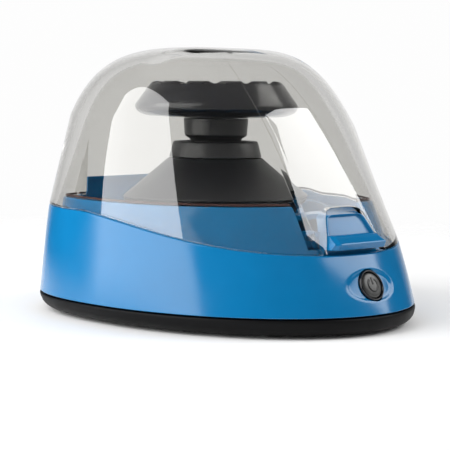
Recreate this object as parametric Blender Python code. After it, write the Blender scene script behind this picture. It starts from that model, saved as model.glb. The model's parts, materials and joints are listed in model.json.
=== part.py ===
"""Laboratory mini centrifuge with a hinged clear lid, modelled as an assembly.

Lengths are written in millimetres and scaled to metres when a mesh is made.
The front, with the power button and the latch tab, faces -Y. +Z is up, and the
origin is on the bench, under the middle of the machine.
"""

import math

import bmesh
import bpy
from mathutils import Matrix, Vector

MM = 0.001
GAP = 0.3

# Outer body: a superellipse in plan that closes into a dome
HALF_LENGTH = 76.5
HALF_WIDTH = 64.9
DOME_Z = 103.9
SEAM_Z = 7.4
WIDEST_Y = 10.5
APEX_Y = 6.0
FRONT_DRAFT = 0.34
BACK_DRAFT = 0.057
SIDE_DRAFT = 0.058
FRONT_DOME = 2.0
BACK_DOME = 4.0
SIDE_DOME = 4.3
FRONT_POWER = 2.0
BACK_POWER = 2.56
TOP_POWER = 2.24
BODY_SIDES = 36

# Wavy line on which the lid meets the housing
PARTING_FRONT_Z = 28.3
PARTING_BACK_Z = 41.6
PARTING_START_Y = -78.0
PARTING_END_Y = 24.0
PARTING_EASE = 1.1

# Walls, and how far in from the outer skin each layer stands
HOUSING_WALL = 2.6
LID_WALL = 2.8
LID_SIDE_WALL = 6.4
LID_FRONT_WALL = 3.2
LID_CROWN_WALL = 4.0
LID_THICKEN_Z = 44.0
UPSTAND_IN = 5.0
UPSTAND_WALL = 2.4
UPSTAND_Z = 45.5
DECK_IN = UPSTAND_IN + UPSTAND_WALL + 0.8

# Base tray
TRAY_BOTTOM_Z = 1.2
TRAY_FLOOR_Z = 3.6
TRAY_FOOT_IN = 4.3

# Rotor and motor, all on one vertical axis
ROTOR_Y = 12.0
BOWL_RADIUS = 48.0
BOWL_FLOOR_Z = 25.0
CHIMNEY_RADIUS = 17.2
CHIMNEY_TOP_Z = 37.4
DECK_Z = 42.0
DECK_THICK = 2.0
MOTOR_RADIUS = 14.0
MOTOR_SCREW_X = 8.0
MOTOR_BOTTOM_Z = 6.2
MOTOR_TOP_Z = 34.0
SHAFT_RADIUS = 1.5
WELL_COUNT = 6
WELL_RADIUS = 4.2
WELL_TOP = (8.0, 58.5)
WELL_END = (42.0, 24.5)
SCALLOP_COUNT = 12
SCALLOP_RADIUS = 6.0
SCALLOP_AT = 29.6
SCALLOP_FLOOR_Z = 89.2

# Lid hinge, on the parting line at the back
HINGE_Y = 73.3
HINGE_Z = 43.0
HINGE_RADIUS = 2.8
HINGE_PIN_RADIUS = 1.1
KNUCKLE_HALF = 12.0
KNUCKLE_OUTER = 19.0

# Fins of the lid and the slotted ears under them
FIN_X = 30.0
FIN_THICK = 2.4
FIN_FRONT_Y = 57.0
FIN_FOOT_Z = 41.0
SCREEN_HALF = 26.8
SCREEN_TOP_Z = 52.6
SCREEN_FRONT_Y = 59.2
SCREEN_THICK = 1.8

# Latch tab
LATCH_PIN_Y = -57.6
LATCH_PIN_Z = 24.5
LATCH_PIN_RADIUS = 1.0
TAB_IN = 0.3
TAB_BACK_IN = 6.5
TAB_DISH = 1.7
TAB_TOP_Z = 42.8
LIP_LOW_Z = 30.6
LATCH_GAP_HALF = 18.9
LIP_TOP_Z = 35.0

# Power button, square to the sloping front
BUTTON_Z = 18.0
BUTTON_RADIUS = 4.8
BEZEL_RADIUS = 6.0
BUTTON_SEAT = -0.7
BOARD_POST_X = 10.0

# Electronics in the tray, and the switch under the left-hand fin
BOARD_SCREW_X = 24.0
BOARD_SCREW_Y = 48.0
BOARD_BOTTOM_Z = 6.7
BOARD_TOP_Z = 8.3
INLET_X = 20.0
INLET_Z = 13.0
PLUNGER_Y = 58.4


# ---------------------------------------------------------------- materials

def material(name, color, roughness, metallic=0.0, transmission=0.0):
    """A Principled BSDF material."""
    made = bpy.data.materials.new(name)
    made.use_nodes = True
    shader = made.node_tree.nodes["Principled BSDF"]
    shader.inputs["Base Color"].default_value = (*color, 1.0)
    shader.inputs["Roughness"].default_value = roughness
    shader.inputs["Metallic"].default_value = metallic
    shader.inputs["Transmission Weight"].default_value = transmission
    return made


def make_materials():
    return {
        "blue": material("blue_plastic", (0.0, 0.28, 0.66), 0.25),
        "black": material("black_plastic", (0.015, 0.015, 0.016), 0.45),
        "gloss_black": material("gloss_black_plastic", (0.015, 0.016, 0.02), 0.15),
        "clear": material("clear_plastic", (0.8, 0.79, 0.77), 0.05, 0.0, 0.9),
        "rubber": material("rubber", (0.02, 0.02, 0.02), 0.8),
        "seal": material("seal_rubber", (0.16, 0.05, 0.035), 0.7),
        "steel": material("steel", (0.55, 0.55, 0.56), 0.3, 1.0),
        "aluminium": material("aluminium", (0.72, 0.72, 0.74), 0.35, 1.0),
        "board": material("board_green", (0.02, 0.16, 0.07), 0.5),
        "red": material("red_insulation", (0.5, 0.02, 0.02), 0.5),
        "grey": material("grey_plastic", (0.12, 0.12, 0.13), 0.4),
    }


# ------------------------------------------------------------ mesh helpers

def add_loft(bm, rings, closed=False):
    """Skin through rings of points. A ring of one point is a pole; open ends are capped."""
    rows = [[bm.verts.new(Vector(point) * MM) for point in ring] for ring in rings]
    pairs = list(zip(rows, rows[1:]))
    if closed:
        pairs.append((rows[-1], rows[0]))
    for low, high in pairs:
        count = max(len(low), len(high))
        for i in range(count):
            j = (i + 1) % count
            if len(low) == 1:
                bm.faces.new((low[0], high[j], high[i]))
            elif len(high) == 1:
                bm.faces.new((low[i], low[j], high[0]))
            else:
                bm.faces.new((low[i], low[j], high[j], high[i]))
    if not closed:
        for ring in (rows[0], rows[-1]):
            if len(ring) > 1:
                bm.faces.new(ring)


def add_turned(bm, profile, sides=28, centre=(0.0, ROTOR_Y)):
    """Turn a closed outline of (radius, z) points about a vertical axis."""
    rings = []
    for radius, z in profile:
        if radius == 0:
            rings.append([(centre[0], centre[1], z)])
            continue
        turns = [2 * math.pi * i / sides for i in range(sides)]
        rings.append([(centre[0] + radius * math.cos(t), centre[1] + radius * math.sin(t), z)
                      for t in turns])
    has_poles = profile[0][0] == 0 and profile[-1][0] == 0
    add_loft(bm, rings, closed=not has_poles)


def add_prism(bm, outline, start, end, axis="X"):
    """A flat outline pushed along X (outline in y, z), Y (in x, z) or Z (in x, y)."""
    if axis == "X":
        rings = [[(at, a, b) for a, b in outline] for at in (start, end)]
    elif axis == "Y":
        rings = [[(a, at, b) for a, b in outline] for at in (start, end)]
    else:
        rings = [[(a, b, at) for a, b in outline] for at in (start, end)]
    add_loft(bm, rings)


def add_box(bm, low, high):
    outline = [(low[0], low[1]), (high[0], low[1]), (high[0], high[1]), (low[0], high[1])]
    add_prism(bm, outline, low[2], high[2], axis="Z")


def add_rod(bm, start, end, radius, sides=16, end_radius=None):
    """A round bar between two points, tapering when an end radius is given."""
    start, end = Vector(start), Vector(end)
    turn = (end - start).to_track_quat("Z", "Y")
    rings = []
    for at, size in ((start, radius), (end, radius if end_radius is None else end_radius)):
        angles = [2 * math.pi * i / sides for i in range(sides)]
        rings.append([at + turn @ Vector((size * math.cos(a), size * math.sin(a), 0))
                      for a in angles])
    add_loft(bm, rings)


def add_slab(bm, front, back):
    """A closed plate between two grids of points that have the same rows and columns."""
    faces = []
    grids = [[[bm.verts.new(Vector(p) * MM) for p in row] for row in grid] for grid in (front, back)]
    rows, columns = len(front), len(front[0])
    for grid in grids:
        for i in range(rows - 1):
            for j in range(columns - 1):
                faces.append((grid[i][j], grid[i][j + 1], grid[i + 1][j + 1], grid[i + 1][j]))
    border = [(i, 0) for i in range(rows)]
    border += [(rows - 1, j) for j in range(1, columns)]
    border += [(i, columns - 1) for i in range(rows - 2, -1, -1)]
    border += [(0, j) for j in range(columns - 2, 0, -1)]
    for (i, j), (k, m) in zip(border, border[1:] + border[:1]):
        faces.append((grids[0][i][j], grids[0][k][m], grids[1][k][m], grids[1][i][j]))
    for corners in faces:
        bm.faces.new(corners)


def finish_object(name, bm, look, smooth_angle=35):
    """Turn a bmesh into a named object with outward faces."""
    bmesh.ops.recalc_face_normals(bm, faces=bm.faces)
    mesh = bpy.data.meshes.new(name)
    bm.to_mesh(mesh)
    bm.free()
    if look:
        mesh.materials.append(look)
    mesh.shade_smooth()
    mesh.set_sharp_from_angle(angle=math.radians(smooth_angle))
    made = bpy.data.objects.new(name, mesh)
    bpy.context.scene.collection.objects.link(made)
    return made


def build(name, look, *shapes):
    """An object from one or more (function, arguments...) shapes that form one body."""
    bm = bmesh.new()
    for function, *arguments in shapes:
        function(bm, *arguments)
    return finish_object(name, bm, look)


def combine(target, name, operation, *shapes):
    """Join shapes to the target, or cut them from it, one Boolean for each group."""
    tool = build(f"{target.name}_{name}_tool", None, *shapes)
    tool.hide_render = True
    tool.display_type = "WIRE"
    step = target.modifiers.new(name, "BOOLEAN")
    step.operation = operation
    step.solver = "EXACT"
    step.object = tool


def cut(target, name, *shapes):
    combine(target, name, "DIFFERENCE", *shapes)


def join(target, name, *shapes):
    combine(target, name, "UNION", *shapes)


def hang(pieces, name, pivot):
    """Parent moving pieces to an empty on their joint's axis."""
    axis = bpy.data.objects.new(name, None)
    axis.location = Vector(pivot) * MM
    bpy.context.scene.collection.objects.link(axis)
    for piece in pieces:
        piece.parent = axis
        piece.matrix_parent_inverse = Matrix.Translation(-axis.location)


# ------------------------------------------------------------ body surface

def reach(z, base, draft, dome, apex):
    """How far the skin stands out from the centre at height z, in one direction."""
    straight = base - draft * (z - SEAM_Z)
    closing = max(1.0 - (z / DOME_Z) ** dome, 0.0) ** (1.0 / dome)
    return apex + (straight - apex) * closing


def skin_point(angle, z, inset=0.0):
    """The point of the outer skin at a plan angle and a height, moved in by inset."""
    share = z / DOME_Z
    middle = WIDEST_Y + (APEX_Y - WIDEST_Y) * share
    side = reach(z, HALF_WIDTH, SIDE_DRAFT, SIDE_DOME, 0.0)
    cosine, sine = math.cos(angle), math.sin(angle)
    if sine < 0:
        power = FRONT_POWER + (TOP_POWER - FRONT_POWER) * share
        depth = middle + reach(z, HALF_LENGTH, FRONT_DRAFT, FRONT_DOME, -APEX_Y)
    else:
        power = BACK_POWER + (TOP_POWER - BACK_POWER) * share
        depth = reach(z, HALF_LENGTH, BACK_DRAFT, BACK_DOME, APEX_Y) - middle
    x = (side - inset) * math.copysign(abs(cosine) ** (2 / power), cosine)
    y = middle + (depth - inset) * math.copysign(abs(sine) ** (2 / power), sine)
    return (x, y, z)


def skin_y(x, z, inset=0.0, back=False):
    """Y of the skin's front, or of its back, at a given x and height."""
    low, high = (0.0, math.pi / 2) if back else (-math.pi / 2, 0.0)
    for _ in range(30):
        middle = (low + high) / 2
        too_wide = skin_point(middle, z, inset)[0] > abs(x)
        if too_wide == back:
            low = middle
        else:
            high = middle
    return skin_point(low, z, inset)[1]


def front_slope(z):
    """How far the front leans back from upright, in radians."""
    step = skin_y(0, z + 1) - skin_y(0, z - 1)
    return math.atan2(step, 2.0)


def parting_z(y):
    share = (y - PARTING_START_Y) / (PARTING_END_Y - PARTING_START_Y)
    eased = min(max(share, 0.0), 1.0) ** PARTING_EASE
    blend = eased * eased * (3 - 2 * eased)
    return PARTING_FRONT_Z + (PARTING_BACK_Z - PARTING_FRONT_Z) * blend


def angles():
    return [2 * math.pi * i / BODY_SIDES for i in range(BODY_SIDES)]


def level_ring(z, inset):
    return [skin_point(angle, z, inset) for angle in angles()]


def rim_height(angle, inset):
    """Height of the parting line at a plan angle."""
    z = PARTING_BACK_Z
    for _ in range(8):
        z = parting_z(skin_point(angle, z, inset)[1])
    return z


def rim_ring(inset, offset=0.0):
    return [skin_point(angle, rim_height(angle, inset) + offset, inset) for angle in angles()]


def between_ring(z, share, inset):
    """A ring part of the way from a level height to the parting line."""
    ring = []
    for angle in angles():
        top = rim_height(angle, inset)
        ring.append(skin_point(angle, z + (top - z) * share, inset))
    return ring


def bowl_ring(radius, z):
    return [(radius * math.cos(a), ROTOR_Y + radius * math.sin(a), z) for a in angles()]


# ------------------------------------------------------------------ places

def foot_places():
    return [(side * x, y) for x, y in ((28.0, -50.0), (32.0, 57.0)) for side in (-1, 1)]


def screw_places():
    """Base screws stand just inside the wall, at the four quarters."""
    spots = [skin_point(math.radians(a), 20.0, 6.0) for a in (35, 145, 218, 322)]
    return [(x, y) for x, y, _ in spots]


def board_screw_places():
    return [(side * BOARD_SCREW_X, BOARD_SCREW_Y) for side in (-1, 1)]


def motor_screw_places():
    return [(side * MOTOR_SCREW_X, ROTOR_Y) for side in (-1, 1)]


def button_axis():
    """Point on the skin and outward direction of the power button."""
    slope = front_slope(BUTTON_Z)
    outward = Vector((0.0, -math.cos(slope), math.sin(slope)))
    return Vector((0.0, skin_y(0, BUTTON_Z), BUTTON_Z)), outward


def along_button(distance, x=0.0):
    """A point at a distance out from the skin on the button's axis."""
    centre, outward = button_axis()
    return centre + outward * distance + Vector((x, 0.0, 0.0))


# --------------------------------------------------------------- base tray

def make_tray(looks):
    lip_in = HOUSING_WALL + GAP
    rings = [
        level_ring(TRAY_BOTTOM_Z, TRAY_FOOT_IN),
        level_ring(2.8, 1.6),
        level_ring(SEAM_Z - GAP, 0.0),
        level_ring(SEAM_Z - GAP, lip_in),
        level_ring(SEAM_Z + 2.6, lip_in),
        level_ring(SEAM_Z + 2.6, lip_in + 1.6),
        level_ring(TRAY_FLOOR_Z, lip_in + 2.4),
    ]
    tray = build("base_tray", looks["black"], (add_loft, rings))
    pads = [(add_rod, (x, y, TRAY_FLOOR_Z - 1), (x, y, 5.2), 5.0, 10) for x, y in screw_places()]
    posts = [(add_rod, (x, y, TRAY_FLOOR_Z - 1), (x, y, BOARD_BOTTOM_Z - GAP), 3.0, 10)
             for x, y in board_screw_places()]
    join(tray, "posts", *pads, *posts)
    clear = [(add_rod, (x, y, 5.2), (x, y, 12.0), 4.5, 10) for x, y in screw_places()]
    inlet_gap = (add_box, (INLET_X - 5.1, 67.0, 7.7), (INLET_X + 5.1, 73.4, 12.0))
    cut(tray, "clearance", *clear, inlet_gap)
    shanks = [(add_turned, [(0, 0), (3.2, 0), (3.2, 3.4), (1.3, 3.4), (1.3, 7), (0, 7)], 10, place)
              for place in screw_places()]
    seats = [(add_rod, (x, y, 0.0), (x, y, 1.8), 6.4, 14) for x, y in foot_places()]
    holes = [(add_rod, (x, y, 4.5), (x, y, 8.0), 1.1, 12) for x, y in board_screw_places()]
    cut(tray, "holes", *shanks, *seats, *holes)


def make_feet(looks):
    for number, place in enumerate(foot_places(), 1):
        profile = [(0, 0), (5.6, 0), (6.0, 1.5), (0, 1.5)]
        build(f"foot_{number}", looks["rubber"], (add_turned, profile, 14, place))


def screw_profile(head_z, head_radius, head_height, shank_radius, tip_z):
    """Outline of a screw: the head starts at head_z and the shank ends at tip_z."""
    far = math.copysign(head_height, tip_z - head_z)
    return [(0, head_z), (head_radius, head_z), (head_radius, head_z + far),
            (shank_radius, head_z + far), (shank_radius, tip_z), (0, tip_z)]


def make_base_screws(looks):
    for number, place in enumerate(screw_places(), 1):
        profile = screw_profile(1.5, 2.8, 1.6, 1.0, 14.0)
        build(f"base_screw_{number}", looks["steel"], (add_turned, profile, 10, place))


# ----------------------------------------------------------- upper housing

def notch_outline(grow=0.0):
    """Front notch of the lid: a low arch, wider at its foot."""
    return [(-16.4 - grow, 26.0), (-15.4 - grow, 30.0), (-10.4 - grow, 42.2),
            (-8.6 - grow * 0.7, 44.2 + grow), (-5.0, 45.2 + grow), (5.0, 45.2 + grow),
            (8.6 + grow * 0.7, 44.2 + grow), (10.4 + grow, 42.2), (15.4 + grow, 30.0),
            (16.4 + grow, 26.0)]


def hinge_cylinder(start, end, radius):
    return (add_rod, (start, HINGE_Y, HINGE_Z), (end, HINGE_Y, HINGE_Z), radius, 20)


def latch_cylinder(half_length, radius):
    return (add_rod, (-half_length, LATCH_PIN_Y, LATCH_PIN_Z),
            (half_length, LATCH_PIN_Y, LATCH_PIN_Z), radius, 12)


def both_sides(function, start, end):
    """The same hinge shape on the right and on the left."""
    return [function(side * start, side * end) for side in (1, -1)]


def fin_gaps():
    """Notches in the upstand through which the fins of the lid reach their ears."""
    return [(add_box, (side * FIN_X - 1.9, 58.0, 43.4), (side * FIN_X + 1.9, 70.0, 50.0))
            for side in (1, -1)]


def make_housing(looks):
    upstand_inner = UPSTAND_IN + UPSTAND_WALL
    rings = [
        level_ring(SEAM_Z + GAP, 0.0),
        between_ring(SEAM_Z, 0.5, 0.0),
        rim_ring(0.0, -0.8),
        rim_ring(0.7),
        rim_ring(UPSTAND_IN),
        level_ring(UPSTAND_Z, UPSTAND_IN),
        level_ring(UPSTAND_Z, upstand_inner),
        rim_ring(upstand_inner, -2.4),
        rim_ring(HOUSING_WALL, -2.4),
        between_ring(SEAM_Z, 0.4, HOUSING_WALL),
        level_ring(SEAM_Z + GAP, HOUSING_WALL),
    ]
    housing = build("upper_housing", looks["blue"], (add_loft, rings, True))

    window = (add_box, (-LATCH_GAP_HALF, -75.0, 30.4), (LATCH_GAP_HALF, -45.0, 50.0))
    cut(housing, "latch_window", window)
    cut(housing, "fin_notches", *fin_gaps())
    cut(housing, "latch_well", (add_box, (-15.3, -62.6, 20.0), (15.3, -45.0, 32.0)))

    columns = [(add_rod, (x, y, 5.5), (x, y, 24.0), 3.9, 12) for x, y in screw_places()]
    lug = [(-61.0, 21.6), (-54.6, 21.6), (-54.6, 28.0), (-61.0, 28.0)]
    lugs = [(add_prism, lug, side * 15.7, side * 18.7) for side in (1, -1)]
    posts = [(add_rod, along_button(-1.2, side * BOARD_POST_X),
              along_button(-12.0, side * BOARD_POST_X), 2.4, 12) for side in (1, -1)]
    knuckles = both_sides(lambda a, b: hinge_cylinder(a, b, HINGE_RADIUS),
                          KNUCKLE_HALF + GAP, KNUCKLE_OUTER)
    join(housing, "posts", *columns, *lugs, *posts, *knuckles)

    cut(housing, "hinge_relief",
        hinge_cylinder(-KNUCKLE_HALF - GAP, KNUCKLE_HALF + GAP, HINGE_RADIUS + 0.4))
    hinge_bore = hinge_cylinder(-25, 25, HINGE_PIN_RADIUS + GAP)
    latch_bore = latch_cylinder(20.0, LATCH_PIN_RADIUS + GAP)
    button_bore = (add_rod, along_button(3.0), along_button(-6.0), 6.3, 24)
    pilots = [(add_rod, along_button(-14.0, side * BOARD_POST_X),
               along_button(-5.0, side * BOARD_POST_X), 1.1, 10) for side in (1, -1)]
    shanks = [(add_rod, (x, y, 0.0), (x, y, 16.0), 1.3, 12) for x, y in screw_places()]
    cut(housing, "inlet", inlet_cylinder(60.0, 85.0, 4.6, 18))
    cut(housing, "bores", hinge_bore, latch_bore, button_bore)
    cut(housing, "screw_holes", *pilots, *shanks)
    cut(housing, "dish", (add_dish,))


def add_dish(bm):
    """Shallow oval hollow around the button: a flattened ball that dips into the skin."""
    centre, outward = button_axis()
    turn = outward.to_track_quat("Z", "Y").to_matrix().to_4x4()
    place = Matrix.Translation((centre + outward * 1.4) * MM) @ turn
    size = Matrix.Diagonal((20.2 * MM, 7.3 * MM, 4.0 * MM, 1.0))
    bmesh.ops.create_uvsphere(bm, u_segments=28, v_segments=10, radius=1.0, matrix=place @ size)


# ------------------------------------------------------------ chamber bowl

def make_bowl(looks):
    outer = BOWL_RADIUS + 2.0
    under_floor = BOWL_FLOOR_Z - 2.0
    chimney_in = CHIMNEY_RADIUS - 2.0
    rings = [
        level_ring(DECK_Z, DECK_IN),
        bowl_ring(BOWL_RADIUS, DECK_Z),
        bowl_ring(BOWL_RADIUS - 1.5, BOWL_FLOOR_Z + 5.0),
        bowl_ring(BOWL_RADIUS - 6.0, BOWL_FLOOR_Z),
        bowl_ring(CHIMNEY_RADIUS, BOWL_FLOOR_Z),
        bowl_ring(CHIMNEY_RADIUS, CHIMNEY_TOP_Z),
        bowl_ring(4.2, CHIMNEY_TOP_Z),
        bowl_ring(4.2, CHIMNEY_TOP_Z - 1.8),
        bowl_ring(chimney_in, CHIMNEY_TOP_Z - 1.8),
        bowl_ring(chimney_in, under_floor),
        bowl_ring(BOWL_RADIUS - 5.0, under_floor),
        bowl_ring(outer - 1.5, BOWL_FLOOR_Z + 4.5),
        bowl_ring(outer, DECK_Z - DECK_THICK),
        level_ring(DECK_Z - DECK_THICK, DECK_IN),
    ]
    bowl = build("chamber_bowl", looks["blue"], (add_loft, rings, True))
    ears = [(add_box, (side * FIN_X - 3.2, 50.6, DECK_Z - 1.4), (side * FIN_X + 3.2, 58.4, 44.0))
            for side in (1, -1)]
    screen = [(-SCREEN_HALF, DECK_Z - 1.0), (SCREEN_HALF, DECK_Z - 1.0),
              (SCREEN_HALF, SCREEN_TOP_Z), (-SCREEN_HALF, SCREEN_TOP_Z)]
    screen_back = SCREEN_FRONT_Y + SCREEN_THICK
    join(bowl, "ears", *ears, (add_prism, screen, SCREEN_FRONT_Y, screen_back, "Y"))
    slots = [(add_box, (side * FIN_X - 1.8, 53.0, 35.0), (side * FIN_X + 1.8, 59.8, 50.0))
             for side in (1, -1)]
    low, high = DECK_Z + 4.5, SCREEN_TOP_Z - 1.2
    recess = [(-21.0, low), (21.0, low), (23.6, low + 1.0), (24.8, low + 3.4), (24.8, high),
              (-24.8, high), (-24.8, low + 3.4), (-23.6, low + 1.0)]
    clearance = (add_box, (-LATCH_GAP_HALF, -75.0, 30.0), (LATCH_GAP_HALF, -45.0, 50.0))
    screws = [(add_rod, (x, y, 30.0), (x, y, 40.0), 1.3, 12) for x, y in motor_screw_places()]
    hollow = (add_prism, recess, SCREEN_FRONT_Y - 1.0, screen_back - 1.1, "Y")
    cut(bowl, "slots", *slots, hollow, clearance, *screws)


def make_seals(looks):
    """The rim's seal, in three lengths: the fins and the latch tab interrupt it."""
    rings = [
        level_ring(UPSTAND_Z + GAP, UPSTAND_IN + 0.7),
        level_ring(UPSTAND_Z + 1.0, UPSTAND_IN + 0.9),
        level_ring(UPSTAND_Z + 1.0, UPSTAND_IN + 1.7),
        level_ring(UPSTAND_Z + GAP, UPSTAND_IN + 1.9),
    ]
    fin_in, fin_out = FIN_X - 1.9, FIN_X + 1.9
    reaches = {"rim_seal_back": [(-fin_in, 0), (fin_in, 0), (fin_in, 80), (-fin_in, 80)]}
    for name, side in (("rim_seal_right", 1), ("rim_seal_left", -1)):
        half = [(LATCH_GAP_HALF, -80), (80, -80), (80, 80), (fin_out, 80), (fin_out, 0),
                (LATCH_GAP_HALF, 0)]
        reaches[name] = [(side * x, y) for x, y in half]
    for name, outline in reaches.items():
        seal = build(name, looks["seal"], (add_loft, rings, True))
        combine(seal, "length", "INTERSECT", (add_prism, outline, 40.0, 50.0, "Z"))


# --------------------------------------------------------------------- lid

def lid_wall(angle, z):
    """Thickness of the lid's wall: even at the rim and fuller higher up, least so in front."""
    front = max(-math.sin(angle), 0.0)
    full = LID_SIDE_WALL - (LID_SIDE_WALL - LID_FRONT_WALL) * front ** 3
    share = min(max((z - LID_THICKEN_Z) / (32.0 - 20.0 * front), 0.0), 1.0)
    return LID_WALL + (full - LID_WALL) * share * share * (3 - 2 * share)


def lid_rings(inner):
    """Rings from the rim to the crown; the inner skin is a smaller dome."""
    crown = DOME_Z - (LID_CROWN_WALL if inner else 0.0)
    stretch = DOME_Z / crown
    rings = []
    steps = 9
    for step in range(steps):
        rise = math.sin(math.pi / 2 * step / steps)
        ring = []
        for angle in angles():
            base = rim_height(angle, LID_WALL if inner else 0.0) + GAP
            z = base + (crown - base) * rise
            inset = lid_wall(angle, z) * (1 - 0.6 * rise ** 4) if inner else 0.0
            x, y, _ = skin_point(angle, z * (1 + (stretch - 1) * rise), inset)
            ring.append((x, y, z))
        rings.append(ring)
    rings.append([(0.0, APEX_Y, crown)])
    return rings


def make_lid(looks):
    rings = lid_rings(inner=False)[::-1] + lid_rings(inner=True)
    lid = build("lid", looks["clear"], (add_loft, rings))
    fins = []
    for side in (1, -1):
        x = side * FIN_X
        wall = [(skin_y(x, z, LID_WALL - 1.2, back=True), z) for z in (76.0, 70.0, 62.0, 54.0, 47.0)]
        outline = [(FIN_FRONT_Y, FIN_FOOT_Z), (FIN_FRONT_Y, 73.0)] + wall
        outline += [(61.6, 44.0), (59.2, 44.0), (59.2, FIN_FOOT_Z)]
        fins.append((add_prism, outline, x - FIN_THICK / 2, x + FIN_THICK / 2))
    join(lid, "fins", *fins)
    join(lid, "barrel", hinge_cylinder(-KNUCKLE_HALF, KNUCKLE_HALF, HINGE_RADIUS))
    cut(lid, "hinge_bore", hinge_cylinder(-15, 15, HINGE_PIN_RADIUS + GAP))
    cut(lid, "hinge_relief", *both_sides(lambda a, b: hinge_cylinder(a, b, HINGE_RADIUS + 0.4),
                                         KNUCKLE_HALF, KNUCKLE_OUTER + GAP))
    cut(lid, "notch", (add_prism, notch_outline(), -90.0, -40.0, "Y"))
    catch_back = skin_y(17.8, 37.0) + LID_WALL + 1.6
    catch = [(catch_back - 4.4, 33.8), (catch_back, 33.8), (catch_back, 34.8),
             (catch_back - 0.6, 35.4), (catch_back - 4.4, 35.4)]
    catches = [(add_prism, catch, side * 15.6, side * 18.2) for side in (1, -1)]
    join(lid, "catches", *catches)
    return lid


# ------------------------------------------------------------------- hinge

def make_hinge_pin(looks):
    build("hinge_pin", looks["steel"],
          hinge_cylinder(-KNUCKLE_OUTER, KNUCKLE_OUTER, HINGE_PIN_RADIUS))


# ------------------------------------------------------------------- latch

def tab_half_width(z):
    if z <= LIP_LOW_Z:
        return 14.4
    share = (z - LIP_LOW_Z) / (TAB_TOP_Z - LIP_LOW_Z)
    corner = max(0.0, (share - 0.85) / 0.15)
    return 14.8 - 5.2 * share - 1.4 * corner ** 2


def along(outline, z):
    """Y at height z on an outline of (z, y) points."""
    for (low_z, low_y), (high_z, high_y) in zip(outline, outline[1:]):
        if z <= high_z:
            return low_y + (high_y - low_y) * max(z - low_z, 0.0) / (high_z - low_z)
    return outline[-1][1]


def tab_front_y(x, z):
    """Front of the tab: the stem, a finger lip, and a dished pad flush with the lid."""
    across = min(abs(x) / tab_half_width(z), 1.0)
    if z < LIP_LOW_Z:
        return -60.6
    if z < LIP_TOP_Z:
        lip = [(LIP_LOW_Z, -65.8), (31.5, -66.8), (33.0, -67.2), (33.6, -66.7), (34.4, -64.3),
               (LIP_TOP_Z, skin_y(0, LIP_TOP_Z, TAB_IN))]
        return along(lip, z) + 1.9 * across ** 4
    height = (z - LIP_TOP_Z) / (TAB_TOP_Z - LIP_TOP_Z)
    dish = TAB_DISH * (1 - across ** 6) * (1 - (2 * height - 1) ** 6)
    return skin_y(x, z, TAB_IN) + dish


def make_latch(looks):
    levels = [22.0, 26.0, LIP_LOW_Z - 0.3, LIP_LOW_Z, 31.5, 33.0, 33.6, 34.4, LIP_TOP_Z, 35.6,
              37.0, 38.9, 40.8, 42.2, TAB_TOP_Z]
    shares = [-1.0, -0.92, -0.78, -0.45, 0.0, 0.45, 0.78, 0.92, 1.0]
    front, back = [], []
    for z in levels:
        wide = tab_half_width(z)
        front.append([(s * wide, tab_front_y(s * wide, z), z) for s in shares])
        rear = -54.6 if z <= LIP_LOW_Z else skin_y(0, z, TAB_BACK_IN)
        back.append([(s * wide, rear, z) for s in shares])
    tab = build("latch_tab", looks["blue"], (add_slab, front, back))
    hook_y = skin_y(17.8, 37.0) + LID_WALL + 0.6
    hook = [(hook_y + 4.4, 31.0), (hook_y + 4.4, 37.0), (hook_y + 0.4, 37.0), (hook_y, 35.8),
            (hook_y + 1.4, 35.8), (hook_y + 1.4, 31.0)]
    hooks = [(add_prism, hook, side * 14.2, side * 17.8) for side in (1, -1)]
    join(tab, "hooks", *hooks)
    web = [(hook_y + 4.0, 31.4), (hook_y + 4.0, 36.6), (hook_y - 0.6, 36.6), (hook_y - 0.6, 31.4)]
    join(tab, "webs", *[(add_prism, web, side * 9.0, side * 14.7) for side in (1, -1)])
    cut(tab, "bore", latch_cylinder(20.0, LATCH_PIN_RADIUS + GAP))
    cut(tab, "spring_pocket", (add_box, (-4.5, -62.0, 20.0), (4.5, -53.0, 28.2)))
    build("latch_pin", looks["steel"], latch_cylinder(18.5, LATCH_PIN_RADIUS))
    return tab


def make_latch_spring(looks):
    """Torsion spring round the latch pin: three turns and two legs."""
    coil_radius = 1.9
    wire = 0.25
    turns = 3
    per_turn = 10
    points = [(-3.0, LATCH_PIN_Y + coil_radius, 18.6), (-3.0, LATCH_PIN_Y + coil_radius, 21.0)]
    for step in range(turns * per_turn + 1):
        angle = 2 * math.pi * step / per_turn
        x = -3.0 + 6.0 * step / (turns * per_turn)
        points.append((x, LATCH_PIN_Y + coil_radius * math.cos(angle),
                       LATCH_PIN_Z + coil_radius * math.sin(angle)))
    points += [(3.0, LATCH_PIN_Y + coil_radius, 27.4)]
    add_wire("latch_spring", looks["steel"], points, wire, 0)


def add_wire(name, look, points, radius, resolution):
    """A round wire along a list of points."""
    curve = bpy.data.curves.new(name, "CURVE")
    curve.dimensions = "3D"
    curve.bevel_depth = radius * MM
    curve.bevel_resolution = resolution
    curve.use_fill_caps = True
    spline = curve.splines.new("POLY")
    spline.points.add(len(points) - 1)
    for spot, point in zip(spline.points, points):
        spot.co = (*(Vector(point) * MM), 1.0)
    curve.materials.append(look)
    wire = bpy.data.objects.new(name, curve)
    bpy.context.scene.collection.objects.link(wire)


# ------------------------------------------------------------ power button

def add_axial(bm, profile, sides=20):
    """Turn a closed outline of (radius, height above the button's seat) about its axis."""
    centre, outward = button_axis()
    turn = outward.to_track_quat("Z", "Y")
    rings = []
    for radius, depth in profile:
        out = depth + BUTTON_SEAT
        if radius == 0:
            rings.append([centre + outward * out])
            continue
        steps = [2 * math.pi * i / sides for i in range(sides)]
        rings.append([centre + turn @ Vector((radius * math.cos(a), radius * math.sin(a), out))
                      for a in steps])
    has_poles = profile[0][0] == 0 and profile[-1][0] == 0
    add_loft(bm, rings, closed=not has_poles)


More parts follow.
